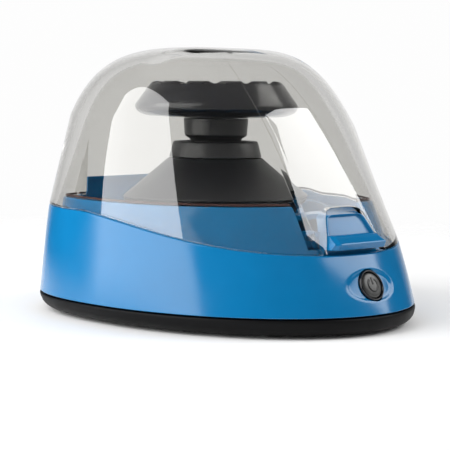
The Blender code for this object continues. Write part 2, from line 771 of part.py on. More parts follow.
def add_tilted_box(bm, half_x, half_up, near, far, lift=0.0):
    """A box square to the button's axis, between two distances out from the skin."""
    centre, outward = button_axis()
    upward = Vector((0.0, outward.z, -outward.y))
    rings = []
    for out in (near, far):
        corners = ((-half_x, -half_up), (half_x, -half_up), (half_x, half_up), (-half_x, half_up))
        rings.append([centre + outward * out + Vector((x, 0, 0)) + upward * (up + lift)
                      for x, up in corners])
    add_loft(bm, rings)


def make_button(looks):
    button = build("power_button", looks["grey"], (add_axial, [
        (0, -5.6), (2.0, -5.6), (2.0, -3.0), (BUTTON_RADIUS, -3.0), (BUTTON_RADIUS, 0.1),
        (BUTTON_RADIUS - 0.5, 0.6), (2.4, 0.9), (0, 1.0)]))
    build("button_bezel", looks["gloss_black"], (add_axial, [
        (BUTTON_RADIUS + GAP, -2.8), (BUTTON_RADIUS + GAP, 0.3), (BUTTON_RADIUS + 0.6, 0.7),
        (BEZEL_RADIUS - 0.3, 0.5), (BEZEL_RADIUS, 0.0), (BEZEL_RADIUS, -2.8)]))
    switch = build("button_switch", looks["grey"], (add_tilted_box, 3.0, 3.0, -11.9, -8.4))
    join(switch, "plunger", (add_axial, [(0, -9.0), (1.4, -9.0), (1.4, -7.4), (0, -7.4)], 16))
    board = build("switch_board", looks["board"], (add_tilted_box, 13.0, 5.2, -13.9, -12.3))
    holes = [(add_rod, along_button(-16.0, side * BOARD_POST_X),
              along_button(-10.0, side * BOARD_POST_X), 1.2, 12) for side in (1, -1)]
    cut(board, "holes", *holes)
    for number, side in enumerate((-1, 1), 1):
        x = side * BOARD_POST_X
        screw = build(f"switch_board_screw_{number}", looks["steel"],
                      (add_rod, along_button(-15.5, x), along_button(-14.2, x), 1.9, 16))
        join(screw, "shank", (add_rod, along_button(-14.6, x), along_button(-6.0, x), 0.8, 12))
    return button


# ---------------------------------------------------------- motor and rotor

def make_motor(looks):
    can = [(SHAFT_RADIUS + GAP, MOTOR_BOTTOM_Z), (MOTOR_RADIUS - 0.8, MOTOR_BOTTOM_Z),
           (MOTOR_RADIUS, MOTOR_BOTTOM_Z + 0.8), (MOTOR_RADIUS, MOTOR_TOP_Z - 0.8),
           (MOTOR_RADIUS - 0.8, MOTOR_TOP_Z), (3.6, MOTOR_TOP_Z), (3.6, MOTOR_TOP_Z + 1.6),
           (SHAFT_RADIUS + GAP, MOTOR_TOP_Z + 1.6)]
    motor = build("motor_can", looks["steel"], (add_turned, can, 24))
    holes = [(add_rod, (x, y, 29.0), (x, y, 36.0), 1.3, 12) for x, y in motor_screw_places()]
    cut(motor, "screw_holes", *holes)
    cap = [(0, 4.1), (MOTOR_RADIUS - 1.6, 4.1), (MOTOR_RADIUS - 1.0, 4.6),
           (MOTOR_RADIUS - 1.0, MOTOR_BOTTOM_Z - GAP), (0, MOTOR_BOTTOM_Z - GAP)]
    build("motor_end_cap", looks["black"], (add_turned, cap, 20))
    damper = [(4.4, MOTOR_TOP_Z + GAP), (MOTOR_RADIUS - 1.0, MOTOR_TOP_Z + GAP),
              (MOTOR_RADIUS - 1.0, MOTOR_TOP_Z + 1.3), (4.4, MOTOR_TOP_Z + 1.3)]
    ring = build("motor_damper", looks["rubber"], (add_turned, damper, 18))
    cut(ring, "screw_holes", *holes)
    for number, place in enumerate(motor_screw_places(), 1):
        profile = screw_profile(CHIMNEY_TOP_Z + GAP + 1.2, 2.2, 1.2, 1.0, 30.0)
        build(f"motor_screw_{number}", looks["steel"], (add_turned, profile, 10, place))
    shaft = [(0, MOTOR_BOTTOM_Z + GAP), (SHAFT_RADIUS, MOTOR_BOTTOM_Z + GAP), (SHAFT_RADIUS, 45.6),
             (SHAFT_RADIUS - 0.4, 46.0), (0, 46.0)]
    return build("motor_shaft", looks["steel"], (add_turned, shaft, 14))


def add_wells(bm):
    """Six slanted tube wells that leave through the rotor's lower flank."""
    for index in range(WELL_COUNT):
        turn = Matrix.Rotation(2 * math.pi * index / WELL_COUNT, 3, "Z")
        axis = Vector((0.0, ROTOR_Y, 0.0))
        start = axis + turn @ Vector((WELL_TOP[0], 0.0, WELL_TOP[1]))
        end = axis + turn @ Vector((WELL_END[0], 0.0, WELL_END[1]))
        add_rod(bm, start, end, WELL_RADIUS, 10)


def make_rotor(looks):
    body_outline = [
        (6.3, 39.6), (18.1, 39.6), (18.1, 31.0), (26.2, 31.0), (33.0, 41.5), (36.0, 44.6),
        (36.0, 45.1), (33.2, 45.1), (19.5, 56.0), (8.2, 45.0), (8.2, 50.0), (6.3, 50.0)]
    body = build("rotor_body", looks["black"], (add_turned, body_outline, 30))
    cut(body, "wells", (add_wells,))
    cover_outline = [
        (11.5, 60.8), (18.5, 60.8), (36.2, 46.2), (36.2, 45.4), (34.6, 45.4), (17.8, 59.0),
        (11.5, 59.0)]
    cover = build("rotor_cover", looks["black"], (add_turned, cover_outline, 30))
    collar_outline = [(10.4, 61.1), (18.3, 61.1), (16.7, 67.2), (14.4, 67.2), (13.4, 66.6),
                      (10.4, 66.6)]
    collar = build("rotor_collar", looks["black"], (add_turned, collar_outline, 30))
    neck_outline = [(2.3, 52.4), (6.0, 52.4), (10.1, 56.0), (10.1, 68.0), (11.8, 69.0),
                    (12.4, 69.6), (12.8, 76.0), (2.3, 76.0)]
    neck = build("knob_neck", looks["black"], (add_turned, neck_outline, 24))
    disc_outline = [
        (2.3, 76.3), (13.0, 76.3), (28.0, 77.0), (31.6, 78.6), (32.7, 81.0), (25.9, 90.2),
        (24.2, 90.6), (21.5, 86.0), (6.4, 85.0), (6.4, 81.6), (2.3, 81.6)]
    disc = build("knob_disc", looks["gloss_black"], (add_turned, disc_outline, 30))
    grips = []
    for index in range(SCALLOP_COUNT):
        angle = 2 * math.pi * (index + 0.5) / SCALLOP_COUNT
        x = SCALLOP_AT * math.cos(angle)
        y = ROTOR_Y + SCALLOP_AT * math.sin(angle)
        grips.append((add_rod, (x, y, SCALLOP_FLOOR_Z), (x, y, 95.0), SCALLOP_RADIUS, 8))
    cut(disc, "scallops", *grips)
    hub = make_hub(looks)
    ring = [(6.3, 50.3), (7.9, 50.3), (7.9, 51.5), (6.3, 51.5)]
    seal = build("hub_o_ring", looks["rubber"], (add_turned, ring, 16))
    screw = screw_profile(84.6, 5.4, 2.6, 1.9, 48.0)
    locking = build("rotor_screw", looks["steel"], (add_turned, screw, 20))
    socket = [(2.2 * math.cos(math.radians(60 * i)), ROTOR_Y + 2.2 * math.sin(math.radians(60 * i)))
              for i in range(6)]
    cut(locking, "hex_socket", (add_prism, socket, 83.0, 90.0, "Z"))
    return [body, cover, collar, neck, disc, hub, seal, locking]


def make_hub(looks):
    outline = [(SHAFT_RADIUS + GAP, 40.2), (5.2, 40.2), (6.0, 41.0), (6.0, 51.6), (5.4, 52.1),
               (2.3, 52.1), (2.3, 46.6), (SHAFT_RADIUS + GAP, 46.6)]
    return build("rotor_hub", looks["aluminium"], (add_turned, outline, 18))


# ------------------------------------------------------------- electronics

def make_electronics(looks):
    board = build("control_board", looks["board"],
                  (add_box, (-30.0, 32.0, BOARD_BOTTOM_Z), (30.0, 61.0, BOARD_TOP_Z)))
    holes = [(add_rod, (x, y, 5.0), (x, y, 10.0), 1.2, 12) for x, y in board_screw_places()]
    cut(board, "holes", *holes)
    for number, place in enumerate(board_screw_places(), 1):
        profile = screw_profile(10.0, 2.0, 1.4, 0.8, 4.9)
        build(f"control_board_screw_{number}", looks["steel"], (add_turned, profile, 10, place))
    top = BOARD_TOP_Z + GAP
    build("capacitor", looks["grey"],
          (add_turned, [(0, top), (4.0, top), (4.0, top + 9.6), (3.5, top + 10), (0, top + 10)],
           16, (-12.0, 52.0)))
    build("driver_chip", looks["black"], (add_box, (-3.5, 44.0, top), (3.5, 51.0, top + 1.5)))
    build("lead_connector", looks["grey"], (add_box, (-6.0, 33.5, top), (6.0, 38.5, top + 5.0)))
    jack = build("dc_jack", looks["black"],
                 (add_box, (INLET_X - 4.5, 57.0, top), (INLET_X + 4.5, 69.4, 17.4)))
    join(jack, "collar", inlet_cylinder(68.0, 74.4, 4.2, 24))
    cut(jack, "socket", inlet_cylinder(62.0, 80.0, 2.9, 20))
    join(jack, "centre_pin", inlet_cylinder(61.0, 73.0, 0.9, 12))


def inlet_cylinder(start, end, radius, sides):
    return (add_rod, (INLET_X, start, INLET_Z), (INLET_X, end, INLET_Z), radius, sides)


def lead_route(side):
    """Smooth run from a motor terminal to the connector on the board."""
    corners = [Vector((side * 3.0, 26.6, 5.2)), Vector((side * 3.4, 29.0, 5.2)),
               Vector((side * 3.0, 30.4, 8.0)), Vector((side * 2.4, 31.4, 11.0)),
               Vector((side * 2.4, 33.2, 11.2))]
    points = []
    for first, second in zip(corners, corners[1:]):
        for step in range(3):
            points.append(first.lerp(second, step / 3))
    points.append(corners[-1])
    for _ in range(2):
        inner = [(a + 2 * b + c) / 4 for a, b, c in zip(points, points[1:], points[2:])]
        points = [points[0]] + inner + [points[-1]]
    return points


def make_leads(looks):
    for side, name, look in ((-1, "motor_lead_black", "black"), (1, "motor_lead_red", "red")):
        add_wire(name, looks[look], lead_route(side), 0.7, 1)


def make_lid_switch(looks):
    """The interlock's switch, whose plunger stands just under the left-hand fin."""
    x = -FIN_X
    switch = build("lid_switch", looks["grey"],
                   (add_box, (x - 3.0, 54.6, 28.0), (x + 3.0, 61.0, 36.0)))
    cut(switch, "bore", (add_rod, (x, PLUNGER_Y, 31.0), (x, PLUNGER_Y, 40.0), 1.4, 16))
    tip = FIN_FOOT_Z - 0.4
    outline = [(0, 33.4), (1.1, 33.4), (1.1, tip - 0.5), (0.7, tip), (0, tip)]
    return build("lid_switch_plunger", looks["rubber"], (add_turned, outline, 16, (x, PLUNGER_Y)))


# -------------------------------------------------------------------- main

def clear_scene():
    for item in list(bpy.data.objects):
        bpy.data.objects.remove(item)


def main():
    clear_scene()
    looks = make_materials()
    make_tray(looks)
    make_feet(looks)
    make_base_screws(looks)
    make_housing(looks)
    make_bowl(looks)
    make_seals(looks)
    make_hinge_pin(looks)
    make_electronics(looks)
    make_leads(looks)
    make_latch_spring(looks)

    lid = make_lid(looks)
    tab = make_latch(looks)
    button = make_button(looks)
    shaft = make_motor(looks)
    rotor = make_rotor(looks)
    plunger = make_lid_switch(looks)

    hang([lid], "lid_axis", (0.0, HINGE_Y, HINGE_Z))
    hang([tab], "latch_axis", (0.0, LATCH_PIN_Y, LATCH_PIN_Z))
    hang([button], "button_axis", along_button(0.0))
    hang([shaft, *rotor], "rotor_axis", (0.0, ROTOR_Y, 0.0))
    hang([plunger], "plunger_axis", (-FIN_X, PLUNGER_Y, 36.0))


main()
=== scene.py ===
"""Looks of a laboratory mini centrifuge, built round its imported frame.

Lengths are in millimetres and are scaled to metres when a mesh is made. The front, with the power
button and the latch tab, faces -Y. +Z is up, and the origin is on the bench under the middle.
"""

import json
import math

import bmesh
import bpy
from mathutils import Matrix, Vector

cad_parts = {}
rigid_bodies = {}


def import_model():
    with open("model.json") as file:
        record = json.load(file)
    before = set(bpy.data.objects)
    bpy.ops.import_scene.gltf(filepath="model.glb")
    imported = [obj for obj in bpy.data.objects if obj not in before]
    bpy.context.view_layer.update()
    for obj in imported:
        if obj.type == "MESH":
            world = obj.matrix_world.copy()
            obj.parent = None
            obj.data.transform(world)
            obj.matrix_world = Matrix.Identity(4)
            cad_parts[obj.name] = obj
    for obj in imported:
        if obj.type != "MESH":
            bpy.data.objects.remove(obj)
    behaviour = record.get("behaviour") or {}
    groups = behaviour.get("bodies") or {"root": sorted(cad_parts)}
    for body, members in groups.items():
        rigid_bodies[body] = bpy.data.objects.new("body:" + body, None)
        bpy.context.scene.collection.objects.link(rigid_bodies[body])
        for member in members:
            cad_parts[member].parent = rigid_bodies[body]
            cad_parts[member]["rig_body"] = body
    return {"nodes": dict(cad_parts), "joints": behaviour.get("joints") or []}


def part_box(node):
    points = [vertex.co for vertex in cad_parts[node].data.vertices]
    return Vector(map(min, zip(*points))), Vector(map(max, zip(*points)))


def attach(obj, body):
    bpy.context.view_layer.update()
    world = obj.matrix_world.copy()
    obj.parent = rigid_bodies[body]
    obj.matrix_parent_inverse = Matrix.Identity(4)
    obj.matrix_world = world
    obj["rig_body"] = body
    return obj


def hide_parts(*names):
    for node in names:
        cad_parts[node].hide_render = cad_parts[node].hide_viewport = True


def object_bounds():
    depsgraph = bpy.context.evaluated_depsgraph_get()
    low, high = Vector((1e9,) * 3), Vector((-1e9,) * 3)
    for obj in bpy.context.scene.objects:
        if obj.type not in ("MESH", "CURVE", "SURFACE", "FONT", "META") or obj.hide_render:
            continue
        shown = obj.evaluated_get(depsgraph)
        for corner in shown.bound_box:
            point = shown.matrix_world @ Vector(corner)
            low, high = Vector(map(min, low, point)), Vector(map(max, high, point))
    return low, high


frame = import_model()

CAD_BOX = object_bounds()
MM = 0.001
GAP = 0.3


def node_box(node):
    """Lowest and highest corner of a CAD node, in millimetres."""
    low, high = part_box(node)
    return low / MM, high / MM


def node_centre(node):
    low, high = node_box(node)
    return (low + high) / 2


def node_centres(stem, count):
    return [node_centre(f"{stem}_{number}") for number in range(1, count + 1)]


def joint_place(name):
    """A point on a joint's axis, in millimetres."""
    joint = next(j for j in frame["joints"] if j["name"] == name)
    return Vector(joint["pos_m"]) / MM


# Outer body: a superellipse in plan that closes into a dome
HIGH_CORNER = Vector(CAD_BOX[1]) / MM
HALF_LENGTH = 76.5
HALF_WIDTH = HIGH_CORNER.x
DOME_Z = HIGH_CORNER.z
SEAM_Z = 7.4
WIDEST_Y = 10.5
APEX_Y = 6.0
FRONT_DRAFT = 0.34
BACK_DRAFT = 0.057
SIDE_DRAFT = 0.058
FRONT_DOME = 2.0
BACK_DOME = 4.0
SIDE_DOME = 4.3
FRONT_POWER = 2.0
BACK_POWER = 2.56
TOP_POWER = 2.24

# Wavy line on which the lid meets the housing
PARTING_FRONT_Z = 28.3
PARTING_BACK_Z = 41.6
PARTING_START_Y = -78.0
PARTING_END_Y = 24.0
PARTING_EASE = 1.1

# Walls and layers
HOUSING_WALL = 2.6
LID_WALL = 2.8
LID_SIDE_WALL = 6.4
LID_FRONT_WALL = 3.2
LID_CROWN_WALL = 4.0
LID_THICKEN_Z = 44.0
UPSTAND_IN = 5.0
UPSTAND_WALL = 2.4
UPSTAND_INNER = UPSTAND_IN + UPSTAND_WALL
UPSTAND_Z = 45.5
DECK_IN = UPSTAND_INNER + 0.8
DECK_Z = 42.0
DECK_THICK = 2.0
EDGE = 0.45

# Rotor and bowl
ROTOR = joint_place("rotor_spin")
BOWL_RADIUS = 48.0
BOWL_FLOOR_Z = 25.0
CHIMNEY_RADIUS = 17.2
CHIMNEY_TOP_Z = 37.4
WELL_COUNT = 6
WELL_RADIUS = 4.2
GRIP_COUNT = 12
GRIP_PLACE_RADIUS = 29.6
GRIP_RADIUS = 6.0
GRIP_FLOOR_Z = 89.2

# Hinge, fins and latch
HINGE = joint_place("lid_hinge")
HINGE_RADIUS = 2.8
HINGE_BORE = 1.4
KNUCKLE_HALF = 12.0
KNUCKLE_OUTER = 19.0
FIN_X = 30.0
FIN_THICK = 2.4
FIN_FRONT_Y = 57.0
FIN_FOOT_Z = 41.0
SCREEN_HALF = 26.8
SCREEN_TOP_Z = 52.6
SCREEN_FRONT_Y = 59.2
SCREEN_THICK = 1.8
LATCH = joint_place("latch_press")
LATCH_BORE = 1.3
TAB_IN = 0.3
TAB_DISH = 1.7
TAB_TOP_Z = 42.8
TAB_BACK_IN = 6.5
LIP_LOW_Z = 30.6
LIP_TOP_Z = 35.0
LATCH_GAP_HALF = 18.9
LATCH_GAP_FRONT_Y = -75.0
LATCH_GAP_BACK_Y = -45.0

# Power button, square to the sloping front, in an oval dish
BUTTON_Z = 18.0
BUTTON_RADIUS = 4.8
BEZEL_RADIUS = 6.0
BUTTON_SEAT = -0.7
DISH_HALF_WIDE = 13.2
DISH_HALF_TALL = 6.5
DISH_DEPTH = 0.9

# Screws, feet and inlet
BASE_SCREWS = node_centres("base_screw", 4)
MOTOR_SCREWS = node_centres("motor_screw", 2)
FEET = node_centres("foot", 4)
JACK = node_centre("dc_jack")
PILOT_RADIUS = 1.3
INLET_Z = 13.0

# Mesh density
SIDE_COLUMNS = 200
FRONT_COLUMN_STEP = 0.6
FRONT_FINE_HALF = 24.0
TURN_SIDES = 112


# --- mesh helpers

def add_loft(bm, rings, closed=False):
    """Skin through rings of points. A ring of one point is a pole; open ends are capped."""
    rows = [[bm.verts.new(Vector(point) * MM) for point in ring] for ring in rings]
    pairs = list(zip(rows, rows[1:]))
    if closed:
        pairs.append((rows[-1], rows[0]))
    for low, high in pairs:
        count = max(len(low), len(high))
        for i in range(count):
            j = (i + 1) % count
            if len(low) == 1:
                bm.faces.new((low[0], high[j], high[i]))
            elif len(high) == 1:
                bm.faces.new((low[i], low[j], high[0]))
            else:
                bm.faces.new((low[i], low[j], high[j], high[i]))
    if not closed:
        for ring in (rows[0], rows[-1]):
            if len(ring) > 1:
                bm.faces.new(ring)


def softened(outline, radius, closed=True, steps=4):
    """Round the corners of an outline. A point's third value is its own corner radius."""
    rounded = []
    count = len(outline)
    for i, point in enumerate(outline):
        here = Vector(point[:2])
        own = point[2] if len(point) > 2 else radius
        if own == 0 or (not closed and i in (0, count - 1)):
            rounded.append(tuple(here))
            continue
        before = Vector(outline[i - 1][:2]) - here
        after = Vector(outline[(i + 1) % count][:2]) - here
        start = here + before.normalized() * min(own, before.length * 0.45)
        end = here + after.normalized() * min(own, after.length * 0.45)
        for step in range(steps + 1):
            t = step / steps
            rounded.append(tuple(start * (1 - t) ** 2 + here * 2 * t * (1 - t) + end * t ** 2))
    return rounded


def heading(points, i):
    """From the point before one to the point after it, along a line of points."""
    return Vector(points[min(i + 1, len(points) - 1)]) - Vector(points[max(i - 1, 0)])


def add_revolved(bm, profile, centre, direction=(0, 0, 1), sides=TURN_SIDES):
    """Turn an outline of (radius, height) points about an axis through a centre."""
    turn = Vector(direction).to_track_quat("Z", "Y")
    rings = []
    for radius, height in profile:
        if radius == 0:
            rings.append([Vector(centre) + turn @ Vector((0, 0, height))])
            continue
        angles = [2 * math.pi * i / sides for i in range(sides)]
        rings.append([Vector(centre) + turn @ Vector((radius * math.cos(a), radius * math.sin(a), height))
                      for a in angles])
    has_poles = profile[0][0] == 0 and profile[-1][0] == 0
    add_loft(bm, rings, closed=not has_poles)


def add_turned(bm, outline, radius=0.4, centre=None, sides=TURN_SIDES):
    """Turn a soft-cornered outline of (radius, z) about a vertical axis."""
    place = (ROTOR.x, ROTOR.y, 0.0) if centre is None else (centre[0], centre[1], 0.0)
    poles = outline[0][0] == 0
    add_revolved(bm, softened(outline, radius, closed=not poles), place, sides=sides)


def add_rod(bm, start, end, radius, sides=48, edge=0.0):
    """A round bar between two points, with softened ends when an edge is given."""
    start, end = Vector(start), Vector(end)
    length = (end - start).length
    outline = [(0, 0), (radius, 0, edge), (radius, length, edge), (0, length)]
    add_revolved(bm, softened(outline, edge, closed=False), start, end - start, sides)


def uprights(places, low_z, high_z, radius, sides=32, edge=0.0):
    """One upright rod at each place."""
    return [(add_rod, (p.x, p.y, low_z), (p.x, p.y, high_z), radius, sides, edge) for p in places]


def add_prism(bm, outline, start, end, axis="X", edge=0.0):
    """A flat outline pushed along X (outline in y, z), Y (in x, z) or Z (in x, y)."""
    points = softened(outline, edge) if edge else [point[:2] for point in outline]
    place = {"X": lambda a, b, at: (at, a, b),
             "Y": lambda a, b, at: (a, at, b),
             "Z": lambda a, b, at: (a, b, at)}[axis]
    add_loft(bm, [[place(a, b, at) for a, b in points] for at in (start, end)])


def add_box(bm, low, high):
    outline = [(low[0], low[1]), (high[0], low[1]), (high[0], high[1]), (low[0], high[1])]
    add_prism(bm, outline, low[2], high[2], axis="Z")


def add_block(bm, low, high, edge=0.5, steps=3):
    """A box with rounded edges."""
    corners = bmesh.ops.create_cube(bm, size=1.0)["verts"]
    low, high = Vector(low) * MM, Vector(high) * MM
    for vertex in corners:
        share = vertex.co + Vector((0.5, 0.5, 0.5))
        vertex.co = Vector(low[i] + (high[i] - low[i]) * share[i] for i in range(3))
    edges = {e for vertex in corners for e in vertex.link_edges}
    bmesh.ops.bevel(bm, geom=list(edges), offset=edge * MM, segments=steps, profile=0.5,
                    affect="EDGES")


def add_slab(bm, front, back):
    """A closed plate between two grids of points that have the same rows and columns."""
    grids = [[[bm.verts.new(Vector(p) * MM) for p in row] for row in grid]
             for grid in (front, back)]
    rows, columns = len(front), len(front[0])
    for grid in grids:
        for i in range(rows - 1):
            for j in range(columns - 1):
                bm.faces.new((grid[i][j], grid[i][j + 1], grid[i + 1][j + 1], grid[i + 1][j]))
    border = [(i, 0) for i in range(rows)]
    border += [(rows - 1, j) for j in range(1, columns)]
    border += [(i, columns - 1) for i in range(rows - 2, -1, -1)]
    border += [(0, j) for j in range(columns - 2, 0, -1)]
    for (i, j), (k, m) in zip(border, border[1:] + border[:1]):
        bm.faces.new((grids[0][i][j], grids[0][k][m], grids[1][k][m], grids[1][i][j]))


def build(name, *shapes):
    """A linked object from (function, arguments...) shapes."""
    bm = bmesh.new()
    for function, *arguments in shapes:
        function(bm, *arguments)
    bmesh.ops.recalc_face_normals(bm, faces=bm.faces)
    mesh = bpy.data.meshes.new(name)
    bm.to_mesh(mesh)
    bm.free()
    made = bpy.data.objects.new(name, mesh)
    bpy.context.scene.collection.objects.link(made)
    return made


def combine(piece, operation, *shapes):
    """Join shapes to a piece, or cut them from it, and keep the result as its mesh."""
    tool = build("tool", *shapes)
    step = piece.modifiers.new(operation, "BOOLEAN")
    step.operation = operation
    step.solver = "EXACT"
    step.object = tool
    graph = bpy.context.evaluated_depsgraph_get()
    result = bpy.data.meshes.new_from_object(piece.evaluated_get(graph))
    piece.modifiers.clear()
    piece.data = result
    bpy.data.objects.remove(tool)


def cut(piece, *shapes):
    combine(piece, "DIFFERENCE", *shapes)


def join(piece, *shapes):
    combine(piece, "UNION", *shapes)


def stand_for(piece, look, *nodes, sharp=32):
    """Finish a piece, let it ride where its CAD nodes do, and hide those nodes."""
    piece.data.materials.clear()
    piece.data.materials.append(look)
    piece.data.shade_smooth()
    piece.data.set_sharp_from_angle(angle=math.radians(sharp))
    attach(piece, frame["nodes"][nodes[0]]["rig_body"])
    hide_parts(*nodes)


def make_turned(name, node, look, shape, *cutters):
    """A piece turned from (outline, add_turned's other arguments...), in place of a node."""
    piece = build(name, (add_turned, *shape))
    if cutters:
        cut(piece, *cutters)
    stand_for(piece, LOOKS[look], node)


# --- body surface

def eased(share):
    """Smooth step from 0 to 1."""
    share = min(max(share, 0.0), 1.0)
    return share * share * (3 - 2 * share)


def reach(z, base, draft, dome, apex):
    """How far the skin stands out from the centre at height z, in one direction."""
    straight = base - draft * (z - SEAM_Z)
    closing = max(1.0 - (z / DOME_Z) ** dome, 0.0) ** (1.0 / dome)
    return apex + (straight - apex) * closing


def front_power(z):
    return FRONT_POWER + (TOP_POWER - FRONT_POWER) * z / DOME_Z


def side_reach(z):
    return reach(z, HALF_WIDTH, SIDE_DRAFT, SIDE_DOME, 0.0)


def skin_point(angle, z, inset=0.0):
    """The point of the outer skin at a plan angle and a height, moved in by inset."""
    share = z / DOME_Z
    middle = WIDEST_Y + (APEX_Y - WIDEST_Y) * share
    cosine, sine = math.cos(angle), math.sin(angle)
    if sine < 0:
        power = front_power(z)
        depth = middle + reach(z, HALF_LENGTH, FRONT_DRAFT, FRONT_DOME, -APEX_Y)
    else:
        power = BACK_POWER + (TOP_POWER - BACK_POWER) * share
        depth = reach(z, HALF_LENGTH, BACK_DRAFT, BACK_DOME, APEX_Y) - middle
    x = (side_reach(z) - inset) * math.copysign(abs(cosine) ** (2 / power), cosine)
    y = middle + (depth - inset) * math.copysign(abs(sine) ** (2 / power), sine)
    return (x, y, z)


def front_angle(x, z, inset=0.0):
    """Plan angle of the front's point at a given x and height."""
    share = min(abs(x) / (side_reach(z) - inset), 1.0)
    cosine = math.copysign(share ** (front_power(z) / 2), x)
    return -math.acos(cosine)


def front_y(x, z, inset=0.0):
    return skin_point(front_angle(x, z, inset), z, inset)[1]


def back_y(x, z, inset=0.0):
    """Y of the skin's back at a given x and height."""
    low, high = 0.0, math.pi / 2
    for _ in range(30):
        middle = (low + high) / 2
        if skin_point(middle, z, inset)[0] > abs(x):
            low = middle
        else:
            high = middle
    return skin_point(low, z, inset)[1]


def parting_z(y):
    share = (y - PARTING_START_Y) / (PARTING_END_Y - PARTING_START_Y)
    blend = eased(min(max(share, 0.0), 1.0) ** PARTING_EASE)
    return PARTING_FRONT_Z + (PARTING_BACK_Z - PARTING_FRONT_Z) * blend


def rim_height(angle, inset=0.0):
    """Height of the parting line at a plan angle."""
    z = PARTING_BACK_Z
    for _ in range(8):
        z = parting_z(skin_point(angle, z, inset)[1])
    return z


def plan_angles():
    """Plan angles of the body's columns, closer together round the button and the latch."""
    count = int(FRONT_FINE_HALF / FRONT_COLUMN_STEP)
    front = [front_angle(i * FRONT_COLUMN_STEP, BUTTON_Z) for i in range(-count, count + 1)]
    spare = 2 * math.pi - (front[-1] - front[0])
    rest = [front[-1] + spare * (i + 1) / SIDE_COLUMNS for i in range(SIDE_COLUMNS - 1)]
    return front + rest


PLAN_ANGLES = plan_angles()
RIM_HEIGHTS = [rim_height(angle) for angle in PLAN_ANGLES]


def level_ring(z, inset):
    return [skin_point(angle, z, inset) for angle in PLAN_ANGLES]


def rim_ring(inset, offset=0.0):
    return [skin_point(angle, rim + offset, inset) for angle, rim in zip(PLAN_ANGLES, RIM_HEIGHTS)]


def between_ring(low_z, high_offset, share, inset):
    """A ring part of the way from a level height to the parting line."""
    return [skin_point(angle, low_z + (rim + high_offset - low_z) * share, inset)
            for angle, rim in zip(PLAN_ANGLES, RIM_HEIGHTS)]


def bowl_ring(radius, z):
    return [(ROTOR.x + radius * math.cos(a), ROTOR.y + radius * math.sin(a), z) for a in PLAN_ANGLES]


# --- materials

class Nodes:
    """A node tree under construction."""

    def __init__(self, tree):
        self.tree = tree

    def node(self, kind, **settings):
        made = self.tree.nodes.new(kind)
        for key, value in settings.items():
            if key in made.inputs:
                made.inputs[key].default_value = value
            else:
                setattr(made, key, value)
        return made

    def link(self, start, end):
        self.tree.links.new(start, end)

    def ranged(self, source, low, high, start=0.3, end=0.7):
        """Remap a 0 to 1 value on to a range."""
        ramp = self.node("ShaderNodeMapRange")
        for key, value in zip(("From Min", "From Max", "To Min", "To Max"), (start, end, low, high)):
            ramp.inputs[key].default_value = value
        self.link(source, ramp.inputs["Value"])
        return ramp.outputs["Result"]


class Look(Nodes):
    """A material under construction, with short calls for its nodes."""

    def __init__(self, name):
        self.material = bpy.data.materials.new(name)
        self.material.use_nodes = True
        super().__init__(self.material.node_tree)
        self.shader = self.tree.nodes["Principled BSDF"]
        self.output = self.tree.nodes["Material Output"]
        self.place = self.node("ShaderNodeTexCoord").outputs["Object"]

    def noise(self, scale, detail=3.0, rough=0.55, stretch=(1, 1, 1)):
        """Fractal noise from 0 to 1 in the object's own coordinates."""
        mapping = self.node("ShaderNodeMapping", Scale=stretch)
        noise = self.node("ShaderNodeTexNoise", Scale=scale, Detail=detail, Roughness=rough)
        self.link(self.place, mapping.inputs["Vector"])
        self.link(mapping.outputs["Vector"], noise.inputs["Vector"])
        return noise.outputs["Fac"]

    def mixed(self, factor, first, second):
        """Colour between two colours, or sockets, by a factor."""
        mix = self.node("ShaderNodeMix", data_type="RGBA")
        self.link(factor, mix.inputs[0])
        for socket, value in ((mix.inputs[6], first), (mix.inputs[7], second)):
            if isinstance(value, tuple):
                socket.default_value = (*value, 1.0)
            else:
                self.link(value, socket)
        return mix.outputs[2]

    def bump(self, *layers):
        """Stack (height, depth in metres) layers into one normal."""
        normal = None
        for height, depth in layers:
            bump = self.node("ShaderNodeBump", Strength=1.0, Distance=depth)
            self.link(height, bump.inputs["Height"])
            if normal:
                self.link(normal, bump.inputs["Normal"])
            normal = bump.outputs["Normal"]
        self.link(normal, self.shader.inputs["Normal"])

    def let_through(self, factor, color=(1.0, 1.0, 1.0)):
        """Pass light straight on, tinted, where the factor is 1."""
        clear = self.node("ShaderNodeBsdfTransparent", Color=(*color, 1.0))
        mix = self.node("ShaderNodeMixShader")
        for i, source in enumerate((factor, self.shader.outputs["BSDF"], clear.outputs["BSDF"])):
            self.link(source, mix.inputs[i])
        self.link(mix.outputs["Shader"], self.output.inputs["Surface"])

    def set(self, **values):
        for key, value in values.items():
            name = key.replace("_", " ")
            socket = self.shader.inputs[name]
            if isinstance(value, tuple):
                socket.default_value = (*value, 1.0)
            elif isinstance(value, (int, float)):
                socket.default_value = value
            else:
                self.link(value, socket)


def shade(color, factor):
    return tuple(channel * factor for channel in color)


def moulded(name, color, roughness, grain, depth, edge_lift=1.25, specular=0.5):
    """Moulded plastic: slight flow marks, a fine surface grain and paler worn edges."""
    look = Look(name)
    flow = look.noise(38, 4)
    body = look.mixed(look.ranged(flow, 0, 1), shade(color, 0.94), shade(color, 1.05))
    worn = look.ranged(look.node("ShaderNodeNewGeometry").outputs["Pointiness"], 0, 1, 0.53, 0.62)
    look.set(Base_Color=look.mixed(worn, body, shade(color, edge_lift)),
             Roughness=look.ranged(look.noise(95, 5), roughness * 0.88, roughness * 1.14),
             Specular_IOR_Level=specular)
    look.bump((look.noise(grain, 2), depth), (look.noise(60, 2), depth * 1.5))
    return look.material


